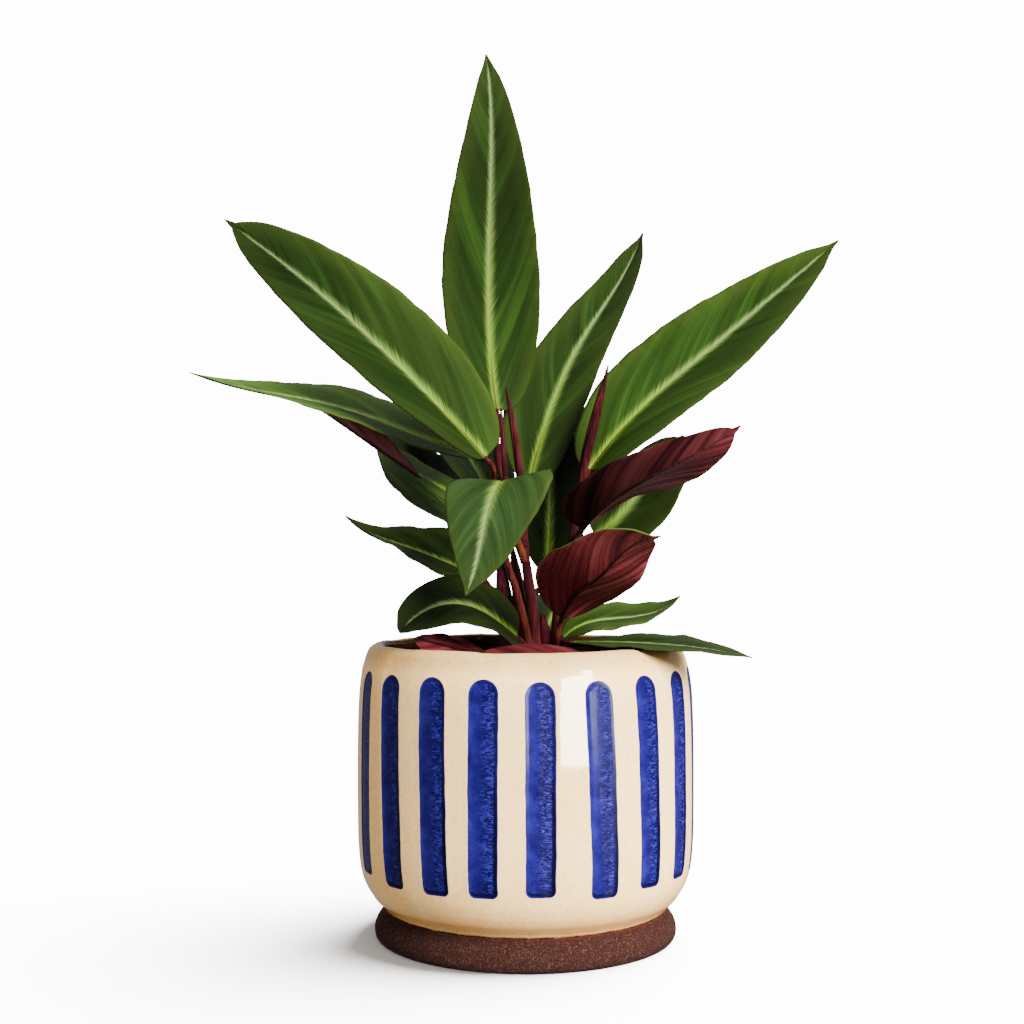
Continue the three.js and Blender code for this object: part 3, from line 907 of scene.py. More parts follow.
@dataclass(frozen=True)
class FormedPolypropylene:
    """Thin black plastic of a nursery pot, vacuum formed. Its scuffs' length is in mm."""

    black: str = "#17161c"
    hollow: str = "#0f0e13"
    scuff: str = "#2d2b35"
    scuff_length: float = 4.1667

    def material(self) -> Material:
        """Gives the plastic its dull gloss and scuffs.

        Returns:
            The material.
        """
        # Formed sheet is even in colour, half matt, with faint grey scuffs from handling.
        material, tree, shader = new_material("formed_polypropylene_black")
        place = add_node(tree, "ShaderNodeTexCoord").outputs["Object"]
        scuff = add_node(
            tree, "ShaderNodeTexNoise",
            {"Scale": scale_of(self.scuff_length), "Detail": 6.0, "Roughness": 0.7},
            {"Vector": place})
        colour = add_node(
            tree, "ShaderNodeValToRGB",
            {"stops": [(0.35, self.hollow), (0.6, self.black), (0.78, self.scuff)]},
            {0: scuff.outputs["Fac"]})
        rough = add_node(
            tree, "ShaderNodeMapRange", {"To Min": 0.35, "To Max": 0.65},
            {"Value": scuff.outputs["Fac"]})
        tree.links.new(colour.outputs[0], shader.inputs["Base Color"])
        tree.links.new(rough.outputs[0], shader.inputs["Roughness"])
        shader.inputs["IOR"].default_value = 1.49
        return material


@dataclass(frozen=True)
class PeatMix:
    """Moist peat with bark fibre, as potting soil is. Its clods' size is in mm."""

    wet: str = "#0c0806"
    brown: str = "#1f150f"
    bark: str = "#402c1f"
    fibre: str = "#66503b"
    clod: float = 2.0

    def material(self) -> Material:
        """Mixes dark peat and lighter fibres.

        Returns:
            The material.
        """
        # Peat is matt and nearly black when moist, with brown fibres between its clods.
        material, tree, shader = new_material("moist_peat")
        place = add_node(tree, "ShaderNodeTexCoord").outputs["Object"]
        grain = add_node(
            tree, "ShaderNodeTexNoise",
            {"Scale": scale_of(self.clod), "Detail": 6.0, "Roughness": 0.75}, {"Vector": place})
        colour = add_node(
            tree, "ShaderNodeValToRGB",
            {"stops": [(0.32, self.wet), (0.5, self.brown), (0.66, self.bark),
                       (0.8, self.fibre)]},
            {0: grain.outputs["Fac"]})
        bump = add_node(
            tree, "ShaderNodeBump", {"Strength": 0.9, "Distance": 0.0012},
            {"Height": grain.outputs["Fac"]})
        tree.links.new(colour.outputs[0], shader.inputs["Base Color"])
        tree.links.new(bump.outputs[0], shader.inputs["Normal"])
        shader.inputs["Roughness"].default_value = 0.95
        return material


@dataclass(frozen=True)
class ExpandedPerlite:
    """White grains of puffed volcanic glass in the soil. Their stains' size is in mm."""

    white: str = "#c9c2b2"
    peaty: str = "#71624f"
    stain: float = 1.1111

    def material(self) -> Material:
        """Dusts the white grains with peat.

        Returns:
            The material.
        """
        # Perlite is chalky and white, stained in spots by the wet peat that it lies in.
        material, tree, shader = new_material("expanded_perlite")
        place = add_node(tree, "ShaderNodeTexCoord").outputs["Object"]
        stain = add_node(
            tree, "ShaderNodeTexNoise", {"Scale": scale_of(self.stain), "Detail": 3.0},
            {"Vector": place})
        colour = add_node(
            tree, "ShaderNodeValToRGB", {"stops": [(0.35, self.peaty), (0.55, self.white)]},
            {0: stain.outputs["Fac"]})
        tree.links.new(colour.outputs[0], shader.inputs["Base Color"])
        shader.inputs["Roughness"].default_value = 0.9
        return material


@dataclass(frozen=True)
class SeamlessPaper:
    """White background paper under the pot. The pitch of its tooth is in mm."""

    white: str = "#fbfbfb"
    shade: str = "#f8f8f8"
    tooth: float = 33.333

    def material(self) -> Material:
        """Gives the paper a faint tooth.

        Returns:
            The material.
        """
        # Studio paper is matt. Its fibre is too fine to see, so its tooth is drawn much
        # wider than it is, as a slight unevenness.
        material, tree, shader = new_material("seamless_paper")
        place = add_node(tree, "ShaderNodeTexCoord").outputs["Object"]
        tooth = add_node(
            tree, "ShaderNodeTexNoise", {"Scale": scale_of(self.tooth), "Detail": 3.0},
            {"Vector": place})
        colour = add_node(
            tree, "ShaderNodeValToRGB", {"stops": [(0.3, self.shade), (0.7, self.white)]},
            {0: tooth.outputs["Fac"]})
        tree.links.new(colour.outputs[0], shader.inputs["Base Color"])
        shader.inputs["Roughness"].default_value = 0.9
        shader.inputs["Specular IOR Level"].default_value = 0.1
        return material


# The pot and what it holds ----------------------------------------------------------------


def raise_rings(name: str, profile: Sequence[tuple[float, float]], sides: int) -> Piece:
    """Raises a turned piece ring by ring from its underside, as on a potter's wheel.

    Args:
        name: The piece's name.
        profile: Radius and height in mm of each ring; a last radius of 0 closes the piece.
        sides: Faces round the piece.

    Returns:
        The piece, with its faces outwards.
    """
    deselect_all()
    radius, height = profile[0]
    bpy.ops.mesh.primitive_circle_add(
        vertices=sides, radius=radius * MM, fill_type="TRIFAN", location=(0, 0, height * MM))
    piece = bpy.context.object
    piece.name = name
    bpy.ops.object.transform_apply(location=True)
    bpy.ops.object.mode_set(mode="EDIT")
    bpy.ops.mesh.select_mode(type="EDGE")
    bpy.ops.mesh.select_all(action="DESELECT")
    bpy.ops.mesh.select_non_manifold()
    for (radius, height), (next_radius, next_height) in zip(profile, profile[1:]):
        rise = (next_height - height) * MM
        bpy.ops.mesh.extrude_region_move(TRANSFORM_OT_translate={"value": (0, 0, rise)})
        if next_radius > 0:
            grow = next_radius / radius
            bpy.ops.transform.resize(
                value=(grow, grow, 1), center_override=(0, 0, next_height * MM))
        else:
            bpy.ops.mesh.merge(type="CENTER")
    bpy.ops.mesh.select_all(action="SELECT")
    bpy.ops.mesh.normals_make_consistent(inside=False)
    bpy.ops.object.mode_set(mode="OBJECT")
    return piece


@dataclass(frozen=True)
class Stripe:
    """One pressed stripe's own faults in mm: how far it is off, leans and how large it is."""

    off: float
    lean: float
    width: float
    low: float
    high: float


@dataclass
class CoverPot:
    """The stoneware pot: thrown body, pressed stripes, dipped glaze and bare foot.

    Sizes are in mm, and stripe_turn is how many degrees the front stripe stands to the right.
    The stripes that the photograph shows have faults of their own, from the front one to the
    right and from the left side back to the front one, and the rest have drawn ones. foot,
    body, lip and inside give radius and height along the wall.
    """

    radius: float = 75.0
    stripes: int = 20
    stripe_width: float = 12.4
    stripe_low: float = 32.0
    stripe_high: float = 119.0
    stripe_depth: float = 0.32
    stripe_turn: float = 4.9
    columns: int = 22
    glaze_line: float = 13.3
    front_stripes: tuple[Stripe, ...] = (
        Stripe(-0.9, -0.3, 12.5, 32.2, 117.9), Stripe(1.6, -3.3, 12.5, 30.4, 118.0),
        Stripe(2.2, -2.8, 12.1, 31.8, 119.1), Stripe(2.3, -1.5, 11.7, 31.9, 119.3))
    left_stripes: tuple[Stripe, ...] = (
        Stripe(0.9, -0.4, 11.7, 32.4, 118.6), Stripe(-0.1, -2.8, 12.1, 30.6, 118.5),
        Stripe(0.3, -1.9, 12.7, 30.8, 119.0), Stripe(-0.8, 0.1, 12.5, 31.5, 118.9))
    foot: tuple[tuple[float, float], ...] = (
        (65.5, 0), (66.6, 1.2), (67, 4), (66.2, 7), (64.2, 10), (61.5, 13.2))
    body: tuple[tuple[float, float], ...] = (
        (61.5, 13.2), (62.4, 14), (64.6, 15.8), (69.2, 21), (72, 26.4), (73.6, 33), (74.6, 43),
        (75, 60), (75, 88), (74.7, 101), (74.2, 110), (73.2, 117), (71.6, 123))
    lip: tuple[tuple[float, float], ...] = (
        (71.6, 123), (69.9, 126.6), (67.4, 128.4), (65, 129), (63.4, 128), (63.2, 125.6),
        (66.8, 118), (69.5, 100))
    inside: tuple[tuple[float, float], ...] = (
        (69.5, 100), (69.5, 42), (65, 25), (56, 13), (49, 9), (20, 9), (0, 9))

    def build(self) -> Piece:
        """Throws, presses and glazes the pot.

        Returns:
            The finished pot.
        """
        pot = raise_rings("cover_pot", self._profile(), self.stripes * self.columns)
        self._press_stripes(pot)
        pot.data.materials.append(GlazedStoneware().material())
        settle(pot, "root", ["pot"])
        return pot

    def _profile(self) -> list[tuple[float, float]]:
        """Spaces the rings closely where the stripes end and where the glaze ends.

        Returns:
            Radius and height of each ring in mm.
        """
        foot = smooth_line(self.foot, 20)
        body = smooth_line(self.body, 400)
        heights = np.concatenate([
            np.arange(13.4, 17.5, 0.45), np.arange(17.9, 30, 1.1), np.arange(30.2, 36.5, 0.45),
            np.arange(37, 110.5, 1.5), np.arange(111.2, 121.4, 0.45), [122.2]])
        radii = np.interp(heights, body[:, 1], body[:, 0])
        lip = smooth_line(self.lip, 42)
        inside = smooth_line(self.inside, 46)
        rings = [*foot, *zip(radii, heights), *lip, *inside[1:]]
        profile = [(float(r), float(z)) for r, z in rings]
        profile[-1] = (0.0, profile[-1][1])
        return profile

    def _press_stripes(self, pot: Piece) -> None:
        """Turns the rings' columns to the stripes, presses the channels and marks the glaze.

        Args:
            pot: The thrown pot.
        """
        points = read_points(pot) / MM
        radius = np.hypot(points[:, 0], points[:, 1])
        z = points[:, 2].copy()
        angle = np.degrees(np.arctan2(points[:, 0], -points[:, 1]))
        sector = 360 / self.stripes
        index = np.round(angle / sector).astype(int)
        local = angle - index * sector
        index = index % self.stripes
        outline = smooth_line(self.body, 400)
        outer = (z > self.foot[-1][1]) & (z < self.lip[0][1] - 0.4)
        outer &= radius > np.interp(z, outline[:, 1], outline[:, 0]) - 1.0
        # Columns stand close together along the edges of a stripe.
        half_sector = math.pi * self.radius / self.stripes
        arc = np.sign(local) * np.interp(
            np.abs(local) / (sector / 2), [0, 2 / 11, 9 / 11, 1], [0, 3.7, 7.2, half_sector])
        centre, half, low, high, wobble = self._hand(index, z, arc)
        fade = step(z, 22, 30) * (1 - step(z, 119.5, 122.4)) * outer
        pull = (1 - step(np.abs(arc), 8, half_sector)) * fade
        side = np.sign(arc) * (half - self.stripe_width / 2) * step(np.abs(arc), 0, 5)
        arc = arc + (centre + side) * pull
        x = arc - centre
        distance = self._distance(x, z, half, low, high) + wobble
        # The clay sinks over 1.9 mm inside the stripe and is raised a little just outside it.
        press = self.stripe_depth * step(-distance, 0.0, 1.9)
        ridge = 0.06 * np.exp(-((distance - 0.5) / 0.5) ** 2)
        glaze = self._above_glaze_line(radius, z, angle)
        theta = np.radians(index * sector + self.stripe_turn + np.degrees(arc / self.radius))
        uneven = 0.25 * drift(5, angle, 12, 360) * step(z, 20, 60)
        new_radius = radius + uneven * (radius > 55) - np.where(outer, press - ridge, 0)
        # The glaze ends in a thick roll above the bare foot.
        roll = 0.55 * np.exp(-((glaze - 0.75) / 0.6) ** 2) + 0.3 * step(glaze, 0.0, 0.5)
        new_radius += roll * outer * (z < 20)
        new_z = z + 0.35 * drift(9, angle, 16, 360) * step(z, 119, 128)
        write_points(pot, MM * np.stack(
            [new_radius * np.sin(theta), -new_radius * np.cos(theta), new_z], 1))
        write_attribute(pot, "stripe", np.where(outer, np.clip(distance, -6, 6), 6.0))
        write_attribute(pot, "pool", self._pool_and_right_shade(x, z, distance, low) * outer)
        write_uv(pot, "channel", x / SHEET, z / SHEET + index * 1.7)
        self._mark_cream(pot, glaze, radius, z, outer, new_radius * np.sin(theta))

    def _above_glaze_line(self, radius: Array, z: Array, angle: Array) -> Array:
        """Measures how far each vertex lies above the glaze's uneven lower edge.

        Args:
            radius: Distance from the pot's axis in mm.
            z: Heights in mm.
            angle: Turns round the pot in degrees.

        Returns:
            The distance in mm, negative on the bare clay.
        """
        edge = self.glaze_line + 0.15 * drift(3, angle, 3.2, 360) + 0.1 * drift(4, angle, 1.1, 360)
        glaze = np.where(radius > 60, z - edge, 5.0)
        return np.where(z < 1e-3, -5.0, glaze)

    def _mark_cream(
        self, pot: Piece, glaze: Array, radius: Array, z: Array,
        outer: Array, across: Array,
    ) -> None:
        """Marks where the cream glaze ends and gives way to the liner, where it is tanner, and
        where shade is painted on it.

        Args:
            pot: The pressed pot.
            glaze: Distance above the glaze's lower edge in mm.
            radius: Distance from the pot's axis in mm.
            z: Heights in mm.
            outer: Which vertices are on the outside of the wall.
            across: Distance to the photograph's right in mm.
        """
        write_attribute(pot, "glaze", np.clip(glaze, -5, 5))
        # hollow is painted shade: a brown band over the waist, where the body curves in above the
        # glaze's edge.
        hollow = 0.5 * np.exp(-((glaze - 5.2) / 2.2) ** 2)
        hollow = hollow + 0.3 * np.exp(-((glaze - 2) / 2.5) ** 2)
        write_attribute(pot, "hollow", hollow * outer)
        # The dark brown liner starts just inside the lip and is darkened as painted shade; on the
        # lip and just below it, its brown is mixed into the cream as painted shade.
        inner = np.interp(z, [9, 118, 123, 129], [71.5, 69, 66, 64.2]) - radius
        lining = step(inner, -0.3, 0.7) * (z > 8) * (glaze > 0) * ~outer
        write_attribute(pot, "lining", np.maximum(lining, 0.4 * step(z, 118.5, 127)))
        # Painted shade tans the cream on the side away from the light, and the cream is also
        # tanner above the foot and at the lip.
        thin = 0.8 * step(-across, 25, 72) + 0.5 * step(-z, -45, -18) + 0.4 * step(z, 118, 126)
        write_attribute(pot, "thin", np.clip(thin, 0, 1.2))

    def _hand(self, index: Array, z: Array, arc: Array) -> tuple[Array, Array, Array, Array, Array]:
        """Gives each stripe the small faults of a hand that pressed it.

        Args:
            index: Which stripe each vertex belongs to, counted from the front one.
            z: Heights in mm.
            arc: Distance along the wall from the stripe's middle in mm.

        Returns:
            The stripe's middle, half width, lower end, upper end and the wobble of its edge.
        """
        rng = np.random.default_rng(18)
        rest = [
            Stripe(rng.normal(0, 0.5), rng.normal(-0.9, 0.8), rng.normal(self.stripe_width, 0.3),
                   rng.normal(self.stripe_low, 0.5), rng.normal(self.stripe_high, 0.4))
            for _ in range(self.stripes - len(self.front_stripes) - len(self.left_stripes))]
        table = [*self.front_stripes, *rest, *self.left_stripes]
        off, lean, width, low, high = np.array(
            [(s.off, s.lean, s.width, s.low, s.high) for s in table])[index].T
        # tall runs from about -0.5 at a stripe's foot to 0.5 at its arch.
        tall = (z - 75) / (self.stripe_high - self.stripe_low)
        centre = off + lean * tall
        half = width / 2 + 0.15 * tall
        wobble = np.zeros_like(z)
        for k in range(self.stripes):
            mine = index == k
            centre[mine] += 0.1 * drift(40 + k, z[mine], 9)
            wobble[mine] = 0.06 * drift(70 + k, z[mine] + 40 * (arc[mine] > 0), 3.5)
        return centre, half, low, high, wobble

    def _pool_and_right_shade(self, x: Array, z: Array, distance: Array, low: Array) -> Array:
        """Says where the cobalt is painted dark: painted shade down the right edge, and where it
        runs together at the foot, under the arch and at the left.

        Args:
            x: Distance from the stripe's middle in mm.
            z: Heights in mm.
            distance: Distance outside the stripe, negative within it.
            low: Height of the stripe's lower end.

        Returns:
            How dark it is painted, 0 to 1.
        """
        # The band down the right edge, deepest on the lower half, is painted shade; the foot, the
        # arch and the left are where the cobalt runs together.
        right = step(x, 1.0, 4.5) * (0.45 + 0.55 * step(-z, -90, -45))
        band = right * np.exp(-((distance + 1.2) / 0.8) ** 2)
        foot = step(-(z - low), -3.6, -1.6) * np.exp(-((distance + 1.3) / 0.6) ** 2)
        arch = 0.6 * np.exp(-((distance + 1.5) / 0.35) ** 2) * step(z, 100, 113)
        left = 0.25 * step(-x, 3, 5) * np.exp(-((distance + 1.3) / 0.4) ** 2)
        return np.maximum.reduce([band, foot, arch, left])

    def _distance(self, x: Array, z: Array, half: Array, low: Array, high: Array) -> Array:
        """Measures how far each vertex lies outside its stripe.

        Args:
            x: Distance from the stripe's middle in mm.
            z: Heights in mm.
            half: Half width.
            low: Height of the lower end.
            high: Height of the upper end.

        Returns:
            The distance in mm, negative within the stripe.
        """
        top = np.hypot(x, np.maximum(z - (high - half), 0)) - half
        corner = 2.6
        px, pz = np.abs(x) - (half - corner), (low + corner) - z
        foot = np.hypot(np.maximum(px, 0), np.maximum(pz, 0)) + np.minimum(np.maximum(px, pz), 0)
        return np.where(z > 75, top, foot - corner)


@dataclass
class GrowPot:
    """The thin black pot that the plant was sold in, with a shelf for stacking. Sizes in mm."""

    radius: float = 59.0
    shelf_radius: float = 50.9
    shelf_height: float = 56.0
    foot_radius: float = 45.0
    top: float = 120.0
    bottom: float = 9.9
    wall: float = 1.2

    def build(self) -> Piece:
        """Forms the pot with its rolled rim and its shelf.

        Returns:
            The finished grow pot.
        """
        r, top, low, wall, shelf = self.radius, self.top, self.bottom, self.wall, self.shelf_radius
        outside = [
            (self.foot_radius - 1, low), (self.foot_radius, low + 1),
            (shelf - 0.6, self.shelf_height - 1), (shelf, self.shelf_height),
            (r - 1.7, top - 10), (r - 1.2, top - 9), (r + 1.1, top - 8.2), (r + 1.5, top - 7),
            (r + 1.5, top - 1.6), (r + 1.2, top - 0.6), (r + 0.4, top), (r - 0.6, top),
            (r - wall, top - 0.8)]
        within = [
            (r - wall - 0.1, top - 8), (r - 1.6 - wall, top - 9), (shelf - wall, self.shelf_height),
            (self.foot_radius - wall, low + wall + 1), (self.foot_radius - wall - 1, low + wall),
            (0, low + wall)]
        pot = raise_rings("nursery_pot", [*outside, *within], 128)
        pot.data.materials.append(FormedPolypropylene().material())
        settle(pot, "root", ["grow_pot"])
        choose(pot)
        bpy.ops.object.shade_smooth_by_angle(angle=math.radians(35))
        return pot


@dataclass
class SoilBed:
    """The potting soil: an uneven bed with loose crumbs and perlite on it. Sizes in mm."""

    top: float = 113.0
    low: float = 12.3
    low_radius: float = 43.4
    top_radius: float = 56.0
    crumbs: int = 420
    grains: int = 60

    def build(self) -> None:
        """Fills the pot and scatters the crumbs."""
        rings = [(self.low_radius, self.low), (self.low_radius + 0.3, self.low + 1)]
        rings += [(self.top_radius - 0.4, 100.0), (self.top_radius, self.top - 2.2)]
        rings += [(float(r), self.top) for r in np.linspace(self.top_radius - 1, 1.2, 44)]
        bed = raise_rings("potting_soil", [*rings, (0, self.top)], 180)
        points = read_points(bed)
        points[:, 2] += self._swell(points) * (points[:, 2] > (self.top - 3) * MM)
        write_points(bed, points)
        bed.data.materials.append(PeatMix().material())
        settle(bed, "root", ["soil"])
        self._scatter("soil_crumbs", self.crumbs, 11, (0.7, 2.0), PeatMix())
        self._scatter("perlite_grains", self.grains, 12, (0.7, 1.5), ExpandedPerlite())

    def _swell(self, points: Array) -> Array:
        """Raises and sinks the bed in lumps of about 6 mm.

        Args:
            points: Places in metres.

        Returns:
            The change of height in metres, on average about 0.2 mm down.
        """
        x, y = points[:, 0] / MM, points[:, 1] / MM
        lumps = drift(21, x + 0.6 * y, 5) * drift(22, y - 0.4 * x, 4) + 0.5 * drift(23, x - y, 1.7)
        return (lumps * 0.7 - 0.2) * MM

    def _scatter(
        self, name: str, count: int, seed: int, sizes: tuple[float, float],
        finish: PeatMix | ExpandedPerlite,
    ) -> None:
        """Models one crumb and copies it over the bed.

        Args:
            name: The piece's name.
            count: How many crumbs.
            seed: Where they fall.
            sizes: Smallest and largest radius in mm.
            finish: What the crumbs are made of.
        """
        rng = np.random.default_rng(seed)
        deselect_all()
        bpy.ops.mesh.primitive_ico_sphere_add(subdivisions=2, radius=MM)
        first = bpy.context.object
        first.name = name
        shape = read_points(first)
        write_points(first, shape * (1 + 0.22 * rng.normal(size=len(shape))[:, None]))
        copies = [first]
        for k in range(count):
            crumb = first if k == 0 else first.copy()
            if k:
                crumb.data = first.data.copy()
                bpy.context.collection.objects.link(crumb)
                copies.append(crumb)
            away = (self.top_radius - 3.0) * MM * math.sqrt(rng.uniform(0.01, 1))
            turn = rng.uniform(0, 2 * math.pi)
            spot = np.array([[away * math.cos(turn), away * math.sin(turn), 0]])
            size = rng.uniform(*sizes) * rng.uniform(0.7, 1)
            height = self.top * MM + float(self._swell(spot)[0]) + 0.3 * size * MM
            crumb.location = (*spot[0, :2], height)
            crumb.rotation_euler = rng.uniform(0, 6.28, 3)
            crumb.scale = size * rng.uniform(0.6, 1.25, 3)
        choose(*copies)
        bpy.ops.object.join()
        bpy.ops.object.transform_apply(location=True, rotation=True, scale=True)
        first.data.materials.append(finish.material())
        settle(first, "root", [])


# The plant --------------------------------------------------------------------------------


@dataclass(frozen=True)
class Curl:
    """Where a blade's margin rolls over, and how far in degrees.

    station and span give its place and reach along the blade as shares of its length, side is
    -1 or 1, and start is the share of the half width from which the margin turns.
    """

    station: float
    span: float
    side: int
    degrees: float
    start: float = 0.6


@dataclass(frozen=True)
class Bite:
    """A notch in a blade's margin, or with a negative depth in mm a swelling of it.

    station and span give its place and reach along the blade as shares of its length, and side
    is -1 or 1.
    """

    station: float
    span: float
    side: int
    depth: float


@dataclass
class Blade:
    """One leaf blade, held as in the photograph. Lengths in mm, turns in degrees.

    heading turns from +X towards +Y, climb rises from level and roll turns the upper face
    about the midrib; each runs from the base to the tip. fold lifts both halves from the
    midrib, and camber is how much more of that lies next to it. widest is the share of the
    length at which the blade is widest, a low fullness keeps it wide, lop widens side 1 and
    narrows side -1, and point is the share of the length that the drawn-out tip takes. feather
    is half the pale band's width. bright is painted light and shade: it scales the colour of
    side -1 and of side 1, darker where leaves shade each other and lighter where they are
    lit. phase is where its patterns start.
    """

    node: str
    base: Point
    length: float
    width: float
    widest: float
    fullness: float
    lop: float
    heading: tuple[float, ...]
    climb: tuple[float, ...]
    roll: tuple[float, ...]
    fold: tuple[float, ...]
    tone: Tone
    slot: str
    feather: float = 2.6
    bright: tuple[float, float] = (1.0, 1.0)
    point: float = 0.035
    camber: float = 0.35
    curls: tuple[Curl, ...] = ()
    bites: tuple[Bite, ...] = ()
    phase: float = 0.0
    thickness: float = 0.5
    row_length: float = 1.1
    half_columns: int = 15

    def spine(self, s: Array) -> tuple[Array, Array, Array, Array]:
        """Bends the midrib.

        Args:
            s: Places along the blade from 0 to 1, evenly spaced.

        Returns:
            The midrib's points, and the directions ahead, to the side and up at each.
        """
        middles = (s[1:] + s[:-1]) / 2
        steps = self._directions(middles)[0] * np.diff(s)[:, None] * self.length
        points = np.vstack([np.zeros(3), np.cumsum(steps, axis=0)]) + np.asarray(self.base)
        return points, *self._directions(s)

    def _directions(self, s: Array) -> tuple[Array, Array, Array]:
        """Gives the blade's directions at places along it.

        Args:
            s: Places along the blade from 0 to 1.

        Returns:
            The directions ahead, to the side and up at each.
        """
        heading, climb, roll = (
            np.radians(along(v, s))[:, None] for v in (self.heading, self.climb, self.roll))
        nought = np.zeros_like(heading)
        level = np.hstack([np.cos(heading), np.sin(heading), nought])
        upright = np.array([[0.0, 0.0, 1.0]])
        ahead = np.cos(climb) * level + np.sin(climb) * upright
        side = np.hstack([np.sin(heading), -np.cos(heading), nought])
        up = np.cos(climb) * upright - np.sin(climb) * level
        rolled_side = np.cos(roll) * side + np.sin(roll) * up
        return ahead, rolled_side, np.cos(roll) * up - np.sin(roll) * side

    def half_width(self, s: Array) -> Array:
        """Gives half the blade's width, without bites.

        Args:
            s: Places along the blade from 0 to 1.

        Returns:
            Half its width in mm at each.
        """
        power = math.log(0.5) / math.log(self.widest)
        full = np.clip(s / (1 - self.point), 1e-6, 1)
        bulge = np.sin(np.pi * full ** power).clip(0) ** self.fullness
        bulge *= 1 - 0.35 * step(s, 0.9, 0.975)
        least = np.interp(s, [0, 1 - self.point, 1], [1.2, 1.7, 0.3])
        return self.width / 2 * bulge + least * (1 - bulge)

    def build(self, skins: PlantSkins) -> Piece:
        """Shapes the blade, thickens it and sets its midrib under it.

        Args:
            skins: The plant's finishes.

        Returns:
            The finished blade.
        """
        rows = max(48, round(self.length / self.row_length))
        deselect_all()
        bpy.ops.mesh.primitive_grid_add(
            x_subdivisions=2 * self.half_columns, y_subdivisions=rows, size=2, calc_uvs=True)
        piece = bpy.context.object
        piece.name = self.node.replace("leaf_", "blade_")
        flat = read_points(piece)
        column = np.round((flat[:, 0] + 1) * self.half_columns).astype(int)
        row = np.round((flat[:, 1] + 1) / 2 * rows).astype(int)
        points, marks = self._sheet(rows)
        write_points(piece, points[row, column] * MM)
        for name, values in marks.items():
            if name != "vein":
                write_attribute(piece, name, values[row, column])
        piece.data.uv_layers[0].name = "veins"
        vein, across = marks["vein"][row, column], marks["across"][row, column]
        write_uv(piece, "veins", vein / SHEET, across / SHEET)
        choose(piece)
        bpy.ops.object.modifier_add(type="SOLIDIFY")
        solid = piece.modifiers[-1]
        solid.thickness, solid.offset = self.thickness * MM, 0.0
        solid.material_offset, solid.material_offset_rim = 1, 0
        piece.data.materials.append(skins.upper[self.tone])
        piece.data.materials.append(skins.under)
        bpy.ops.object.modifier_apply(modifier=solid.name)
        rib = self._rib(skins)
        choose(piece, rib)
        bpy.ops.object.join()
        settle(piece, "root", [self.node])
        return piece

    def _sheet(self, rows: int) -> tuple[Array, dict[str, Array]]:
        """Works out the blade's middle surface.

        Args:
            rows: Faces along the blade.

        Returns:
            The points by row and column in mm, and the marks that the finish reads.
        """
        s = np.linspace(0, 1, rows + 1)
        spine, _, side, up = self.spine(s)
        share = (np.arange(self.half_columns + 1) / self.half_columns) ** 1.35
        half, swell = self.half_width(s), np.sin(np.pi * s)[:, None]
        points = np.empty((rows + 1, 2 * self.half_columns + 1, 3))
        names = ("vein", "across", "rib", "edge", "seed", "station", "bright")
        marks = {name: np.empty(points.shape[:2]) for name in names}
        feather = self.feather * (0.3 + 0.7 * step(-s, -1.0, -0.3)) * (1 - 0.9 * step(s, 0.9, 0.97))
        for sign in (-1, 1):
            reach = self._reach(s, half, sign)
            out = np.outer(reach, share)
            turn = self._turn(s, share, sign)
            widths = np.diff(out, axis=1)
            lateral = np.hstack([np.zeros((rows + 1, 1)), np.cumsum(widths * np.cos(turn), 1)])
            rise = np.hstack([np.zeros((rows + 1, 1)), np.cumsum(widths * np.sin(turn), 1)])
            # The side veins leave the midrib steeply and bend towards the tip.
            vein = (s * self.length)[:, None] - 1.55 * out
            vein = vein - 0.9 * out**2 / np.maximum(half, 4)[:, None]
            # The tissue pleats between them, and the midrib lies in a shallow groove.
            flow = drift(int(self.phase * 3) + 30, vein, 2.3)
            pleat = 0.16 * flow * (1 - share) * np.minimum(share * 6, 1) * swell
            groove = -0.28 * np.exp(-(out / 0.8) ** 2) * np.minimum(1, (half / 4))[:, None]
            columns = self.half_columns + sign * np.arange(self.half_columns + 1)
            points[:, columns] = (
                spine[:, None] + sign * lateral[..., None] * side[:, None]
                + (rise + self._wave(s, share, sign) + pleat + groove)[..., None] * up[:, None])
            marks["vein"][:, columns] = vein
            marks["across"][:, columns] = sign * out
            marks["rib"][:, columns] = out / np.maximum(feather, 0.05)[:, None]
            marks["edge"][:, columns] = reach[:, None] - out
            marks["seed"][:, columns] = self.phase + 0.37 * sign
            marks["station"][:, columns] = s[:, None]
            marks["bright"][:, columns] = self.bright[(sign + 1) // 2]
        return points, marks

    def _reach(self, s: Array, half: Array, sign: int) -> Array:
        """Gives how far one half of the blade reaches, with its bites and a frayed margin.

        Args:
            s: Places along the blade from 0 to 1.
            half: Half the blade's width at each.
            sign: Which half, -1 or 1.

        Returns:
            The reach in mm at each place.
        """
        reach = half * (1 + self.lop * sign)
        for bite in (b for b in self.bites if b.side == sign):
            reach = reach - bite.depth * np.exp(-((s - bite.station) / bite.span) ** 2)
        reach = np.maximum(reach, 0.3)
        return reach * (1 + 0.008 * drift(int(self.phase * 10) + sign + 50, s * self.length, 5))

    def _turn(self, s: Array, share: Array, sign: int) -> Array:
        """Gives how steeply one half of the blade rises between its columns.

        Args:
            s: Places along the blade from 0 to 1.
            share: Places across the half from 0 to 1.
            sign: Which half, -1 or 1.

        Returns:
            The turn in radians, by row and column.
        """
        middle = (share[1:] + share[:-1]) / 2
        folds = along(self.fold, s) if len(self.fold) > 1 else np.full_like(s, self.fold[0])
        turn = np.radians(folds)[:, None] * (1 + self.camber * (1 - 2 * middle))[None]
        for curl in (c for c in self.curls if c.side == sign):
            near = np.exp(-((s - curl.station) / curl.span) ** 2)[:, None]
            turn = turn + math.radians(curl.degrees) * near * step(middle, curl.start, 1)[None]
        return turn

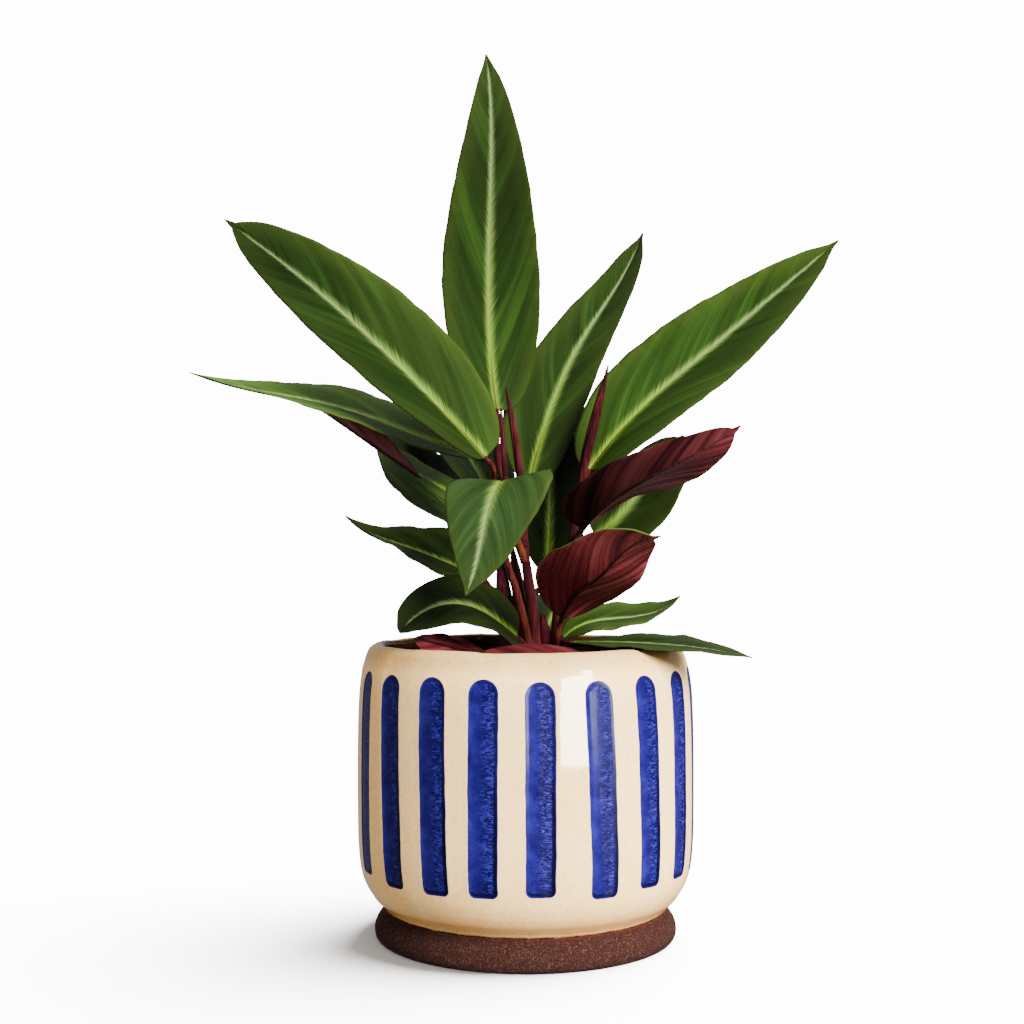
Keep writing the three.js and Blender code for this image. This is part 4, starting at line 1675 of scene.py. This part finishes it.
    def _wave(self, s: Array, share: Array, sign: int) -> Array:
        """Ripples one half of the blade, most at its margin.

        Args:
            s: Places along the blade from 0 to 1.
            share: Places across the half from 0 to 1.
            sign: Which half, -1 or 1.

        Returns:
            The rise in mm, by row and column.
        """
        swell = np.sin(np.pi * s)[:, None]
        wave = 0.4 * share**2 * swell * np.sin(
            2 * np.pi * 3.5 * s + self.phase + (0 if sign > 0 else 2))[:, None]
        return wave + 0.2 * share**4 * swell * drift(
            int(self.phase * 7) + sign + 90, s * self.length, 3.5)[:, None]

    def _rib(self, skins: PlantSkins) -> Piece:
        """Models the midrib that stands out under the blade.

        Args:
            skins: The plant's finishes.

        Returns:
            The midrib as a piece of its own.
        """
        s, whole = np.linspace(0, 0.94, 40), np.linspace(0, 1, 201)
        points, ahead, _, up = self.spine(whole)
        places = np.interp(s, whole, np.arange(201)).round().astype(int)
        radii = 0.95 * (1 - s) ** 0.8 + 0.15
        line = points[places] - up[places] * (radii + 0.05)[:, None]
        start = points[0] - ahead[0] * 1.5 - up[0] * 0.9
        rib = draw_rod("midrib", np.vstack([start, line]), np.concatenate([[1.0], radii]), 2)
        write_attribute(rib, "tan", np.full(len(rib.data.vertices), 0.15))
        rib.data.materials.append(skins.stem)
        return rib


def draw_rod(name: str, line: Array, radii: Array, roundness: int = 3) -> Piece:
    """Draws a tapering rod along a line.

    Args:
        name: The piece's name.
        line: Points in mm.
        radii: Radius in mm at each point.
        roundness: How round the rod is; 3 gives 16 sides.

    Returns:
        The rod as a mesh, closed at both ends.
    """
    deselect_all()
    bpy.ops.curve.primitive_bezier_curve_add(radius=MM, location=(0, 0, 0))
    rod = bpy.context.object
    rod.name = name
    curve = rod.data
    curve.splines.clear()
    spline = curve.splines.new("POLY")
    spline.points.add(len(line) - 1)
    for point, place, radius in zip(spline.points, line * MM, radii):
        point.co = (*place, 1)
        point.radius = radius
    curve.dimensions = "3D"
    curve.bevel_depth = MM
    curve.bevel_resolution = roundness
    curve.use_fill_caps = True
    bpy.ops.object.convert(target="MESH")
    bpy.ops.object.mode_set(mode="EDIT")
    bpy.ops.mesh.select_all(action="SELECT")
    bpy.ops.mesh.remove_doubles(threshold=1e-6)
    bpy.ops.mesh.normals_make_consistent(inside=False)
    bpy.ops.object.mode_set(mode="OBJECT")
    return bpy.context.object


@dataclass(frozen=True)
class Stalk:
    """A leaf stalk: what it carries, the points it passes in mm and how tan it is, 0 to 1."""

    carries: str
    via: tuple[Point, ...]
    tan: float = 0.15


@dataclass
class Shoot:
    """A cane, the stalks that branch from it and the old sheaths at its foot, in mm.

    buried and soil_top are heights on the cane. lead and overlap say how far before a blade's
    foot and past it the last two points of its stalk lie.
    """

    node: str
    foot: tuple[float, float]
    cane: tuple[Point, ...]
    radii: tuple[float, ...]
    stalks: tuple[Stalk, ...]
    sheaths: tuple[tuple[Point, ...], ...] = ()
    stalk_radii: tuple[float, ...] = (2.2, 1.8, 1.45, 1.1)
    sheath_radii: tuple[float, ...] = (2.6, 2.9, 3.2, 0.9)
    buried: float = 96.3
    soil_top: float = 113.0
    lead: float = 5.3
    overlap: float = 0.4

    def build(self, seats: Mapping[str, tuple[Array, Array]], skins: PlantSkins) -> Piece:
        """Draws the cane, its sheaths and its stalks and joins them.

        Args:
            seats: Where each blade and rolled leaf starts, and the way it sets off.
            skins: The plant's finishes.

        Returns:
            The finished shoot.
        """
        x, y = self.foot
        line = smooth_line([(x, y, self.buried), (x, y, self.soil_top), *self.cane], 70)
        parts = [self._stem("cane", line, np.asarray(self.radii), 0.1)]
        for path in self.sheaths:
            line = smooth_line(path, 30)
            parts.append(self._stem("sheath", line, np.asarray(self.sheath_radii), 0.0))
        for stalk in self.stalks:
            base, ahead = seats[stalk.carries]
            end = [base - ahead * self.lead, base + ahead * self.overlap]
            line = smooth_line([*stalk.via, *end], 48)
            parts.append(self._stem("stalk", line, np.asarray(self.stalk_radii), stalk.tan))
        choose(*parts)
        bpy.ops.object.join()
        shoot = bpy.context.object
        shoot.name = self.node.replace("shoot_", "stems_")
        shoot.data.materials.append(skins.stem)
        settle(shoot, "root", [self.node])
        return shoot

    def _stem(self, name: str, line: Array, radii: Array, tan: float) -> Piece:
        """Draws one stem, a little swollen and uneven along its length.

        Args:
            name: The stem's name.
            line: Points in mm.
            radii: Radii in mm along it.
            tan: How tan it is, 0 to 1.

        Returns:
            The stem.
        """
        s = np.linspace(0, 1, len(line))
        seed = int(abs(line[-1]).sum() * 10) % 997
        width = along(radii, s) * (1 + 0.03 * drift(seed, s * 100, 4))
        rod = draw_rod(name, line, width)
        height = read_points(rod)[:, 2] / MM
        ripe = tan + 0.2 * step(-height, -150, -115) * (0.5 + 0.5 * drift(seed + 1, height, 6))
        write_attribute(rod, "tan", np.clip(ripe, 0, 1))
        return rod


@dataclass
class RolledLeaf:
    """A new leaf still rolled up on itself, as a spear. Sizes in mm."""

    node: str
    path: tuple[Point, ...]
    radii: tuple[float, ...]
    turns: float = 1.55
    thickness: float = 0.2
    rows: int = 70
    columns: int = 44

    def build(self, skins: PlantSkins) -> Piece:
        """Rolls a sheet round the spear's line.

        Args:
            skins: The plant's finishes.

        Returns:
            The finished spear.
        """
        rows = self.rows
        deselect_all()
        bpy.ops.mesh.primitive_grid_add(
            x_subdivisions=self.columns, y_subdivisions=rows, size=2)
        piece = bpy.context.object
        piece.name = self.node.replace("spear_", "rolled_leaf_")
        flat = read_points(piece)
        column = (flat[:, 0] + 1) / 2
        row = np.round((flat[:, 1] + 1) / 2 * rows).astype(int)
        line = smooth_line(self.path, rows + 1)
        ahead = np.gradient(line, axis=0)
        ahead /= np.linalg.norm(ahead, axis=1)[:, None]
        side = np.cross(ahead, [0.0, 1.0, 0.0])
        side /= np.linalg.norm(side, axis=1)[:, None]
        other = np.cross(ahead, side)
        s = row / rows
        # The sheet's inner edge lies at 0.62 of the spear's radius, its outer edge outside.
        radius = along(self.radii, s) * (0.62 + 0.38 * column)
        angle = 2 * np.pi * self.turns * column + 2.2 * s + 2.6
        points = (line[row] + (radius * np.cos(angle))[:, None] * side[row]
                  + (radius * np.sin(angle))[:, None] * other[row])
        write_points(piece, points * MM)
        write_attribute(piece, "tan", 0.12 * column)
        choose(piece)
        bpy.ops.object.modifier_add(type="SOLIDIFY")
        solid = piece.modifiers[-1]
        solid.thickness, solid.offset = self.thickness * MM, 0.0
        bpy.ops.object.modifier_apply(modifier=solid.name)
        bpy.ops.object.mode_set(mode="EDIT")
        bpy.ops.mesh.select_all(action="SELECT")
        bpy.ops.mesh.normals_make_consistent(inside=False)
        bpy.ops.object.mode_set(mode="OBJECT")
        piece.data.materials.append(skins.stem)
        settle(piece, "root", [self.node])
        return piece

    def seat(self) -> tuple[Array, Array]:
        """Gives where the spear starts and the way it sets off."""
        base, after = np.asarray(self.path[0], float), np.asarray(self.path[1], float)
        return base, (after - base) / np.linalg.norm(after - base)


GREEN, PALE, DARK = Tone.GREEN, Tone.PALE, Tone.DARK

BLADES = (
    Blade("leaf_crown", (-13, 3, 233.5), 175, 50, 0.3, 0.9, 0, (110, 100), (65, 90, 95, 50),
          (-20, 15), (8,), GREEN, "leaf_green", 3.0, (0.9, 0.9)),
    Blade("leaf_upper_left", (-18, -15, 211), 159, 50, 0.32, 0.6, 0.05, (183, 170),
          (50, 45, 40, 35), (40, 85), (18,), GREEN, "leaf_green", 3.2, (0.6, 1.4)),
    Blade("leaf_upper_right", (2, 10, 202), 147, 31, 0.34, 0.55, -0.05, (50, 35),
          (70, 60, 50, 65), (-60, -22), (10,), GREEN, "leaf_green", 2.4, (0.95, 0.75),
          bites=(Bite(0.2, 0.2, -1, -6.0),)),
    Blade("leaf_right", (29, 0, 206), 165, 48, 0.32, 0.75, 0, (15, 12), (55, 40, 40, 40),
          (-35, -75), (18,), GREEN, "leaf_green", 3.0, (1.7, 1.05)),
    Blade("leaf_left_long", (-21, 7, 213), 137, 38, 0.5, 0.75, 0, (200, 170), (15, 20, 10, 20),
          (45, 5), (10,), GREEN, "leaf_green", 3.0, (2.4, 4.2)),
    Blade("leaf_left_twisted", (-24, 7, 191), 94, 28, 0.5, 0.75, 0, (180, 168),
          (28, 32, 34, 30), (60, -12, -12), (5,), GREEN, "leaf_maroon", 2.0, (2.2, 2.2),
          curls=(Curl(0.65, 0.28, -1, 95, 0.2), Curl(0.65, 0.28, 1, 95, 0.2)),
          bites=(Bite(0.5, 0.22, -1, 4.0),)),
    Blade("leaf_left_back", (-21, 24, 175), 78, 44, 0.5, 0.85, -0.1, (155, 170),
          (50, 40, 50, 45), (10, 30), (5,), DARK, "leaf_dark", 2.4, (2.8, 1.6),
          bites=(Bite(0.5, 0.3, 1, -6.5),)),
    Blade("leaf_front_drooping", (-9, -14, 199), 87, 45, 0.35, 0.85, -0.1, (-95, -115),
          (14, -25, -60, -45), (-8, 15), (8,), PALE, "leaf_pale", 3.4, (1.05, 0.78),
          curls=(Curl(0.1, 0.09, 1, -70, 0.65),), bites=(Bite(0.1, 0.05, -1, -3.5),)),
    Blade("leaf_left_low", (-24, -6, 160), 64, 43, 0.3, 0.9, 0, (165, 180), (25, 20, 20, 45),
          (30, 5), (15,), DARK, "leaf_dark", 2.0, (0.95, 0.95)),
    Blade("leaf_left_arching", (-4, -12, 132), 69, 39, 0.3, 0.45, -0.25, (-135, -150),
          (35, 25, -10, -50), (55, 35), (20,), DARK, "leaf_green", 2.6, (0.45, 0.45), 0.012),
    Blade("leaf_right_maroon", (25, -6, 180), 95, 45, 0.2, 0.5, -0.35, (-75, 5),
          (25, 25, 25, 35), (0, 75), (32,), DARK, "leaf_maroon", 2.0, (3.2, 0.95)),
    Blade("leaf_right_back", (33, 16, 176), 68, 34, 0.42, 0.5, 0.1, (30, 20), (35, 45, 50, 50),
          (-60, -45), (12,), DARK, "leaf_dark", 3.2, (0.7, 0.7)),
    Blade("leaf_front_maroon", (16, -16, 141), 79, 42, 0.45, 0.65, 0.1, (-70, -45),
          (50, 20, 35, 0), (25, 15), (10,), DARK, "leaf_maroon", 2.0, (3.9, 3.9),
          bites=(Bite(0.9, 0.03, -1, 2.5), Bite(0.95, 0.025, 1, 2.5))),
    Blade("leaf_centre_back", (11, 24, 160), 78, 30, 0.45, 0.6, 0, (75, 60), (85, 85, 75, 60),
          (-15, -20), (10,), DARK, "leaf_dark", 2.6, (0.35, 0.35)),
    Blade("leaf_right_low", (17, -6, 131), 57, 28, 0.45, 0.75, 0.05, (5, -15),
          (48, 8, 12, 48), (-25, -18), (8,), DARK, "leaf_dark", 1.6, (2.2, 2.2)),
    Blade("leaf_right_rim", (20, -14, 130), 82, 34, 0.5, 0.7, 0, (-40, 0), (3, 0, -5, -14),
          (-6, -8), (4,), DARK, "leaf_dark", 1.8, (1.15, 1.15)),
    Blade("leaf_rim_left", (-16, -34, 125), 33, 17, 0.5, 0.7, 0, (188, 184), (14, 14),
          (-140, -140), (5,), DARK, "leaf_maroon", 1.6, (3.4, 3.4)),
    Blade("leaf_rim_front", (34, -44, 120), 56, 18, 0.5, 0.7, 0, (188, 180), (15, 6, 4, 6),
          (-125, -125), (5,), DARK, "leaf_maroon", 1.6),
    Blade("leaf_back_low", (8, 17, 124), 66, 36, 0.45, 0.7, 0, (70, 60), (60, 30, 0, -30),
          (0, 0), (12,), DARK, "leaf_dark", 2.4),
    Blade("leaf_back_left", (-12, 22, 184), 104, 40, 0.45, 0.7, 0, (125, 135), (60, 45, 25, -5),
          (0, 10), (12,), GREEN, "leaf_green", 2.6),
    Blade("leaf_back_right", (26, 30, 188), 98, 38, 0.45, 0.7, 0, (75, 60), (60, 45, 25, 0),
          (0, -10), (12,), GREEN, "leaf_green", 2.6),
    Blade("leaf_back_rim", (-4, 20, 128), 70, 36, 0.45, 0.7, 0, (140, 130), (40, 15, -10, -35),
          (0, 0), (12,), DARK, "leaf_dark", 2.4),
)

SPEARS = (
    RolledLeaf("spear_main", ((-1.1, 0, 194.4), (-2.4, -1, 204), (-5, -2, 224), (-8.7, -3, 243)),
               (1.6, 1.9, 1.7, 0.3)),
    RolledLeaf("spear_left", ((-9, -6, 203), (-9.6, -6, 212), (-10.3, -5, 223), (-11, -5, 234)),
               (1, 1.3, 1.2, 0.3)),
    RolledLeaf("spear_right", ((23.8, -2.5, 194.4), (27, -5, 212), (32, -6, 232), (37, -6, 253)),
               (1.6, 2.45, 2.2, 0.3)),
)

SHOOTS = (
    Shoot("shoot_main", (4, 2), ((4, 2, 128), (3, 1, 145), (0, 0, 168), (-1, 0, 194)),
          (3.5, 3.2, 2.6, 1.9, 1.4), (
              Stalk("leaf_crown", ((0, 1, 170), (-8, 3, 196), (-13, 3, 216))),
              Stalk("leaf_upper_left", ((0, 0, 165), (-7, -3, 184), (-14, -7, 201)), 0.9),
              Stalk("leaf_upper_right", ((-1, 1, 176), (0, 5, 190))),
              Stalk("leaf_left_long", ((0, 1, 168), (-8, 5, 190), (-14, 7, 204))),
              Stalk("leaf_front_drooping", (
                  (3, 1, 118), (0, -3, 135), (-4, -5, 152), (-9, -8, 168), (-10.5, -11, 189)),
                    0.45),
              Stalk("leaf_rim_left", ((4, 2, 115), (-5, -18, 118))),
              Stalk("spear_left", ((0, 0, 172), (-5, -3, 186))))),
    Shoot("shoot_right", (14, 8), ((14, 8, 128), (15, 7, 145), (20, 4, 170), (23.6, -2, 194)),
          (2.9, 2.7, 2.2, 1.9, 1.6), (
              Stalk("leaf_right", ((21, 3, 176), (26, 3, 194))),
              Stalk("leaf_back_right", ((17, 7, 156), (26, 19, 170))),
              Stalk("leaf_right_maroon", ((16, 7, 152), (21, 1, 168)), 0.4),
              Stalk("leaf_right_back", ((17, 6, 156), (26, 12, 170))),
              Stalk("leaf_front_maroon", ((14, 7, 116), (14, -4, 124), (14, -12, 132)), 0.9),
              Stalk("leaf_right_low", ((14, 7, 118), (16, 0, 124)), 0.3),
              Stalk("leaf_right_rim", ((14, 8, 116), (17, -4, 124))),
              Stalk("leaf_rim_front", ((14, 8, 115), (31, -14, 117), (41, -34, 118))))),
    Shoot("shoot_left", (-5, 12), ((-5, 12, 128), (-7, 12, 145), (-10, 13, 162), (-12, 16, 176)),
          (3, 2.8, 2.1, 1.6, 1.3), (
              Stalk("leaf_left_twisted", ((-10, 13, 162), (-17, 12, 184))),
              Stalk("leaf_left_back", ((-9, 13, 158), (-16, 18, 169))),
              Stalk("leaf_back_left", ((-10, 14, 162), (-10, 18, 174))),
              Stalk("leaf_left_low", ((-6, 12, 138), (-14, 4, 150))),
              Stalk("leaf_left_arching", ((-5, 12, 116), (-4, 2, 124))),
              Stalk("leaf_centre_back", ((-6, 12, 134), (4, 19, 150)), 0.5),
              Stalk("leaf_back_low", ((-5, 12, 116), (1, 15, 118))),
              Stalk("leaf_back_rim", ((-5, 12, 114), (-4, 16, 120)))),
          (((-1, 7, 112), (-1.5, 7, 134), (-3.6, 7, 156), (-6, 8, 172)),
           ((-8, 10, 112), (-9, 10, 130), (-10.5, 10, 150), (-12, 10, 166)),
           ((9, 9, 112), (9, 9, 122), (8.5, 9, 134), (8, 9, 142)))),
)


# The studio -------------------------------------------------------------------------------


@dataclass(frozen=True)
class Sun:
    """One distant light: the direction it comes from, its strength and how wide it is.

    A sun that washes the paper lights nothing else, and the others light all but the paper.
    """

    name: str
    source: Point
    strength: float
    degrees: float
    washes_paper: bool = False


@dataclass(frozen=True)
class Pane:
    """A bright window pane: its place, what it faces and its size in metres, and its watts."""

    name: str
    place: Point
    aim: Point
    size: tuple[float, float]
    watts: float


@dataclass
class Studio:
    """White paper on a table, soft lights and the photograph's camera. Places in metres.

    backdrop is how bright the ground's white is behind everything, room how much light the
    room gives all round, and mirrored_room how bright it is as a reflection.
    """

    camera_place: Point = (-0.006, -0.661, 0.1723)
    camera_tilt: float = 91.32
    lens: float = 51.68
    sensor_width: float = 36.0
    paper_size: tuple[float, float] = (8.0, 6.0)
    paper_front: float = -0.45
    backdrop: float = 14.0
    room: float = 0.6
    mirrored_room: float = 0.3
    suns: tuple[Sun, ...] = (
        Sun("key_from_the_front_right", (0.6, -0.62, 0.51), 18.5, 34.0),
        Sun("side_from_the_right", (0.6, 0.05, 0.8), 4.5, 50.0),
        Sun("fill_from_the_left", (-0.8, -0.4, 0.45), 0.6, 60.0),
        Sun("fill_from_behind", (-0.2, 0.95, 0.25), 2.0, 60.0),
        Sun("wash_on_the_paper", (0.43, 0.2, 0.88), 56.0, 54.0, washes_paper=True),
    )
    window: Pane = Pane("window_pane", (0.33, -0.52, 0.186), (0.0, -0.02, 0.12), (0.30, 0.36), 24.0)

    def build(self) -> None:
        """Lays the paper, sets the camera and hangs the lights."""
        deselect_all()
        width, depth = self.paper_size
        bpy.ops.mesh.primitive_plane_add(size=1, location=(0, self.paper_front + depth / 2, 0))
        paper = bpy.context.object
        paper.name = "seamless_paper"
        paper.scale = (width, depth, 1)
        bpy.ops.object.transform_apply(location=True, scale=True)
        paper.data.materials.append(SeamlessPaper().material())
        paper.visible_diffuse = paper.visible_glossy = False
        part = [piece for piece in bpy.data.objects if piece.type == "MESH" and piece != paper]
        bpy.ops.object.camera_add(
            location=self.camera_place, rotation=(math.radians(self.camera_tilt), 0, 0))
        camera = bpy.context.object
        camera.data.lens = self.lens
        camera.data.sensor_width = self.sensor_width
        bpy.context.scene.camera = camera
        self._room()
        for sun in self.suns:
            bpy.ops.object.light_add(type="SUN")
            lamp = bpy.context.object
            lamp.name = sun.name
            lamp.data.energy = sun.strength
            lamp.data.angle = math.radians(sun.degrees)
            lamp.rotation_euler = Vector(sun.source).to_track_quat("Z", "Y").to_euler()
            lamp.visible_glossy = False
            self._aim_at(lamp, [paper] if sun.washes_paper else part)
        self._hang(self.window)

    def _room(self) -> None:
        """Surrounds the table with a dim room, and hangs a lit backdrop before the camera."""
        world = bpy.data.worlds.new("white_backdrop")
        bpy.context.scene.world = world
        world.use_nodes = True
        tree = world.node_tree
        tree.nodes.clear()
        ray = add_node(tree, "ShaderNodeLightPath")
        dim = add_node(
            tree, "ShaderNodeMapRange", {"To Min": self.room, "To Max": self.mirrored_room},
            {"Value": ray.outputs["Is Glossy Ray"]})
        level = add_node(
            tree, "ShaderNodeMapRange", {"To Max": self.backdrop},
            {"Value": ray.outputs["Is Camera Ray"], "To Min": dim.outputs[0]})
        sky = add_node(
            tree, "ShaderNodeBackground", {"Color": "#ffffff"}, {"Strength": level.outputs[0]})
        add_node(tree, "ShaderNodeOutputWorld", links={"Surface": sky.outputs[0]})

    def _hang(self, window: Pane) -> None:
        """Hangs a bright pane that shows only as a reflection in the pot's glaze.

        Args:
            window: The pane.
        """
        bpy.ops.object.light_add(type="AREA", location=window.place)
        pane = bpy.context.object
        pane.name = window.name
        pane.data.shape = "RECTANGLE"
        pane.data.size, pane.data.size_y = window.size
        pane.data.energy = window.watts
        facing = Vector(window.aim) - Vector(window.place)
        pane.rotation_euler = facing.to_track_quat("-Z", "Y").to_euler()
        pane.visible_camera = pane.visible_diffuse = False
        self._aim_at(pane, [bpy.data.objects["cover_pot"]])

    def _aim_at(self, lamp: Piece, pieces: Sequence[Piece]) -> None:
        """Lets a lamp light only these pieces, as flags and barn doors would.

        Args:
            lamp: The lamp.
            pieces: What it lights.
        """
        choose(lamp)
        bpy.ops.object.light_linking_receiver_collection_new()
        for piece in pieces:
            lamp.light_linking.receiver_collection.objects.link(piece)


def main() -> None:
    """Builds the pot, the plant and the studio in order."""
    logging.basicConfig(level=logging.INFO, format="%(message)s")
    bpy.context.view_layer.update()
    skins = PlantSkins.mixed()
    CoverPot().build()
    GrowPot().build()
    SoilBed().build()
    seats = {spear.node: spear.seat() for spear in SPEARS}
    for index, blade in enumerate(BLADES):
        blade.phase = index * 2.4
        blade.build(skins)
        ahead = blade.spine(np.array([0.0, 1.0]))[1][0]
        seats[blade.node] = (np.asarray(blade.base, float), ahead)
    for spear in SPEARS:
        spear.build(skins)
    for shoot in SHOOTS:
        shoot.build(seats, skins)
    Studio().build()


if __name__ == "__main__":
    main()
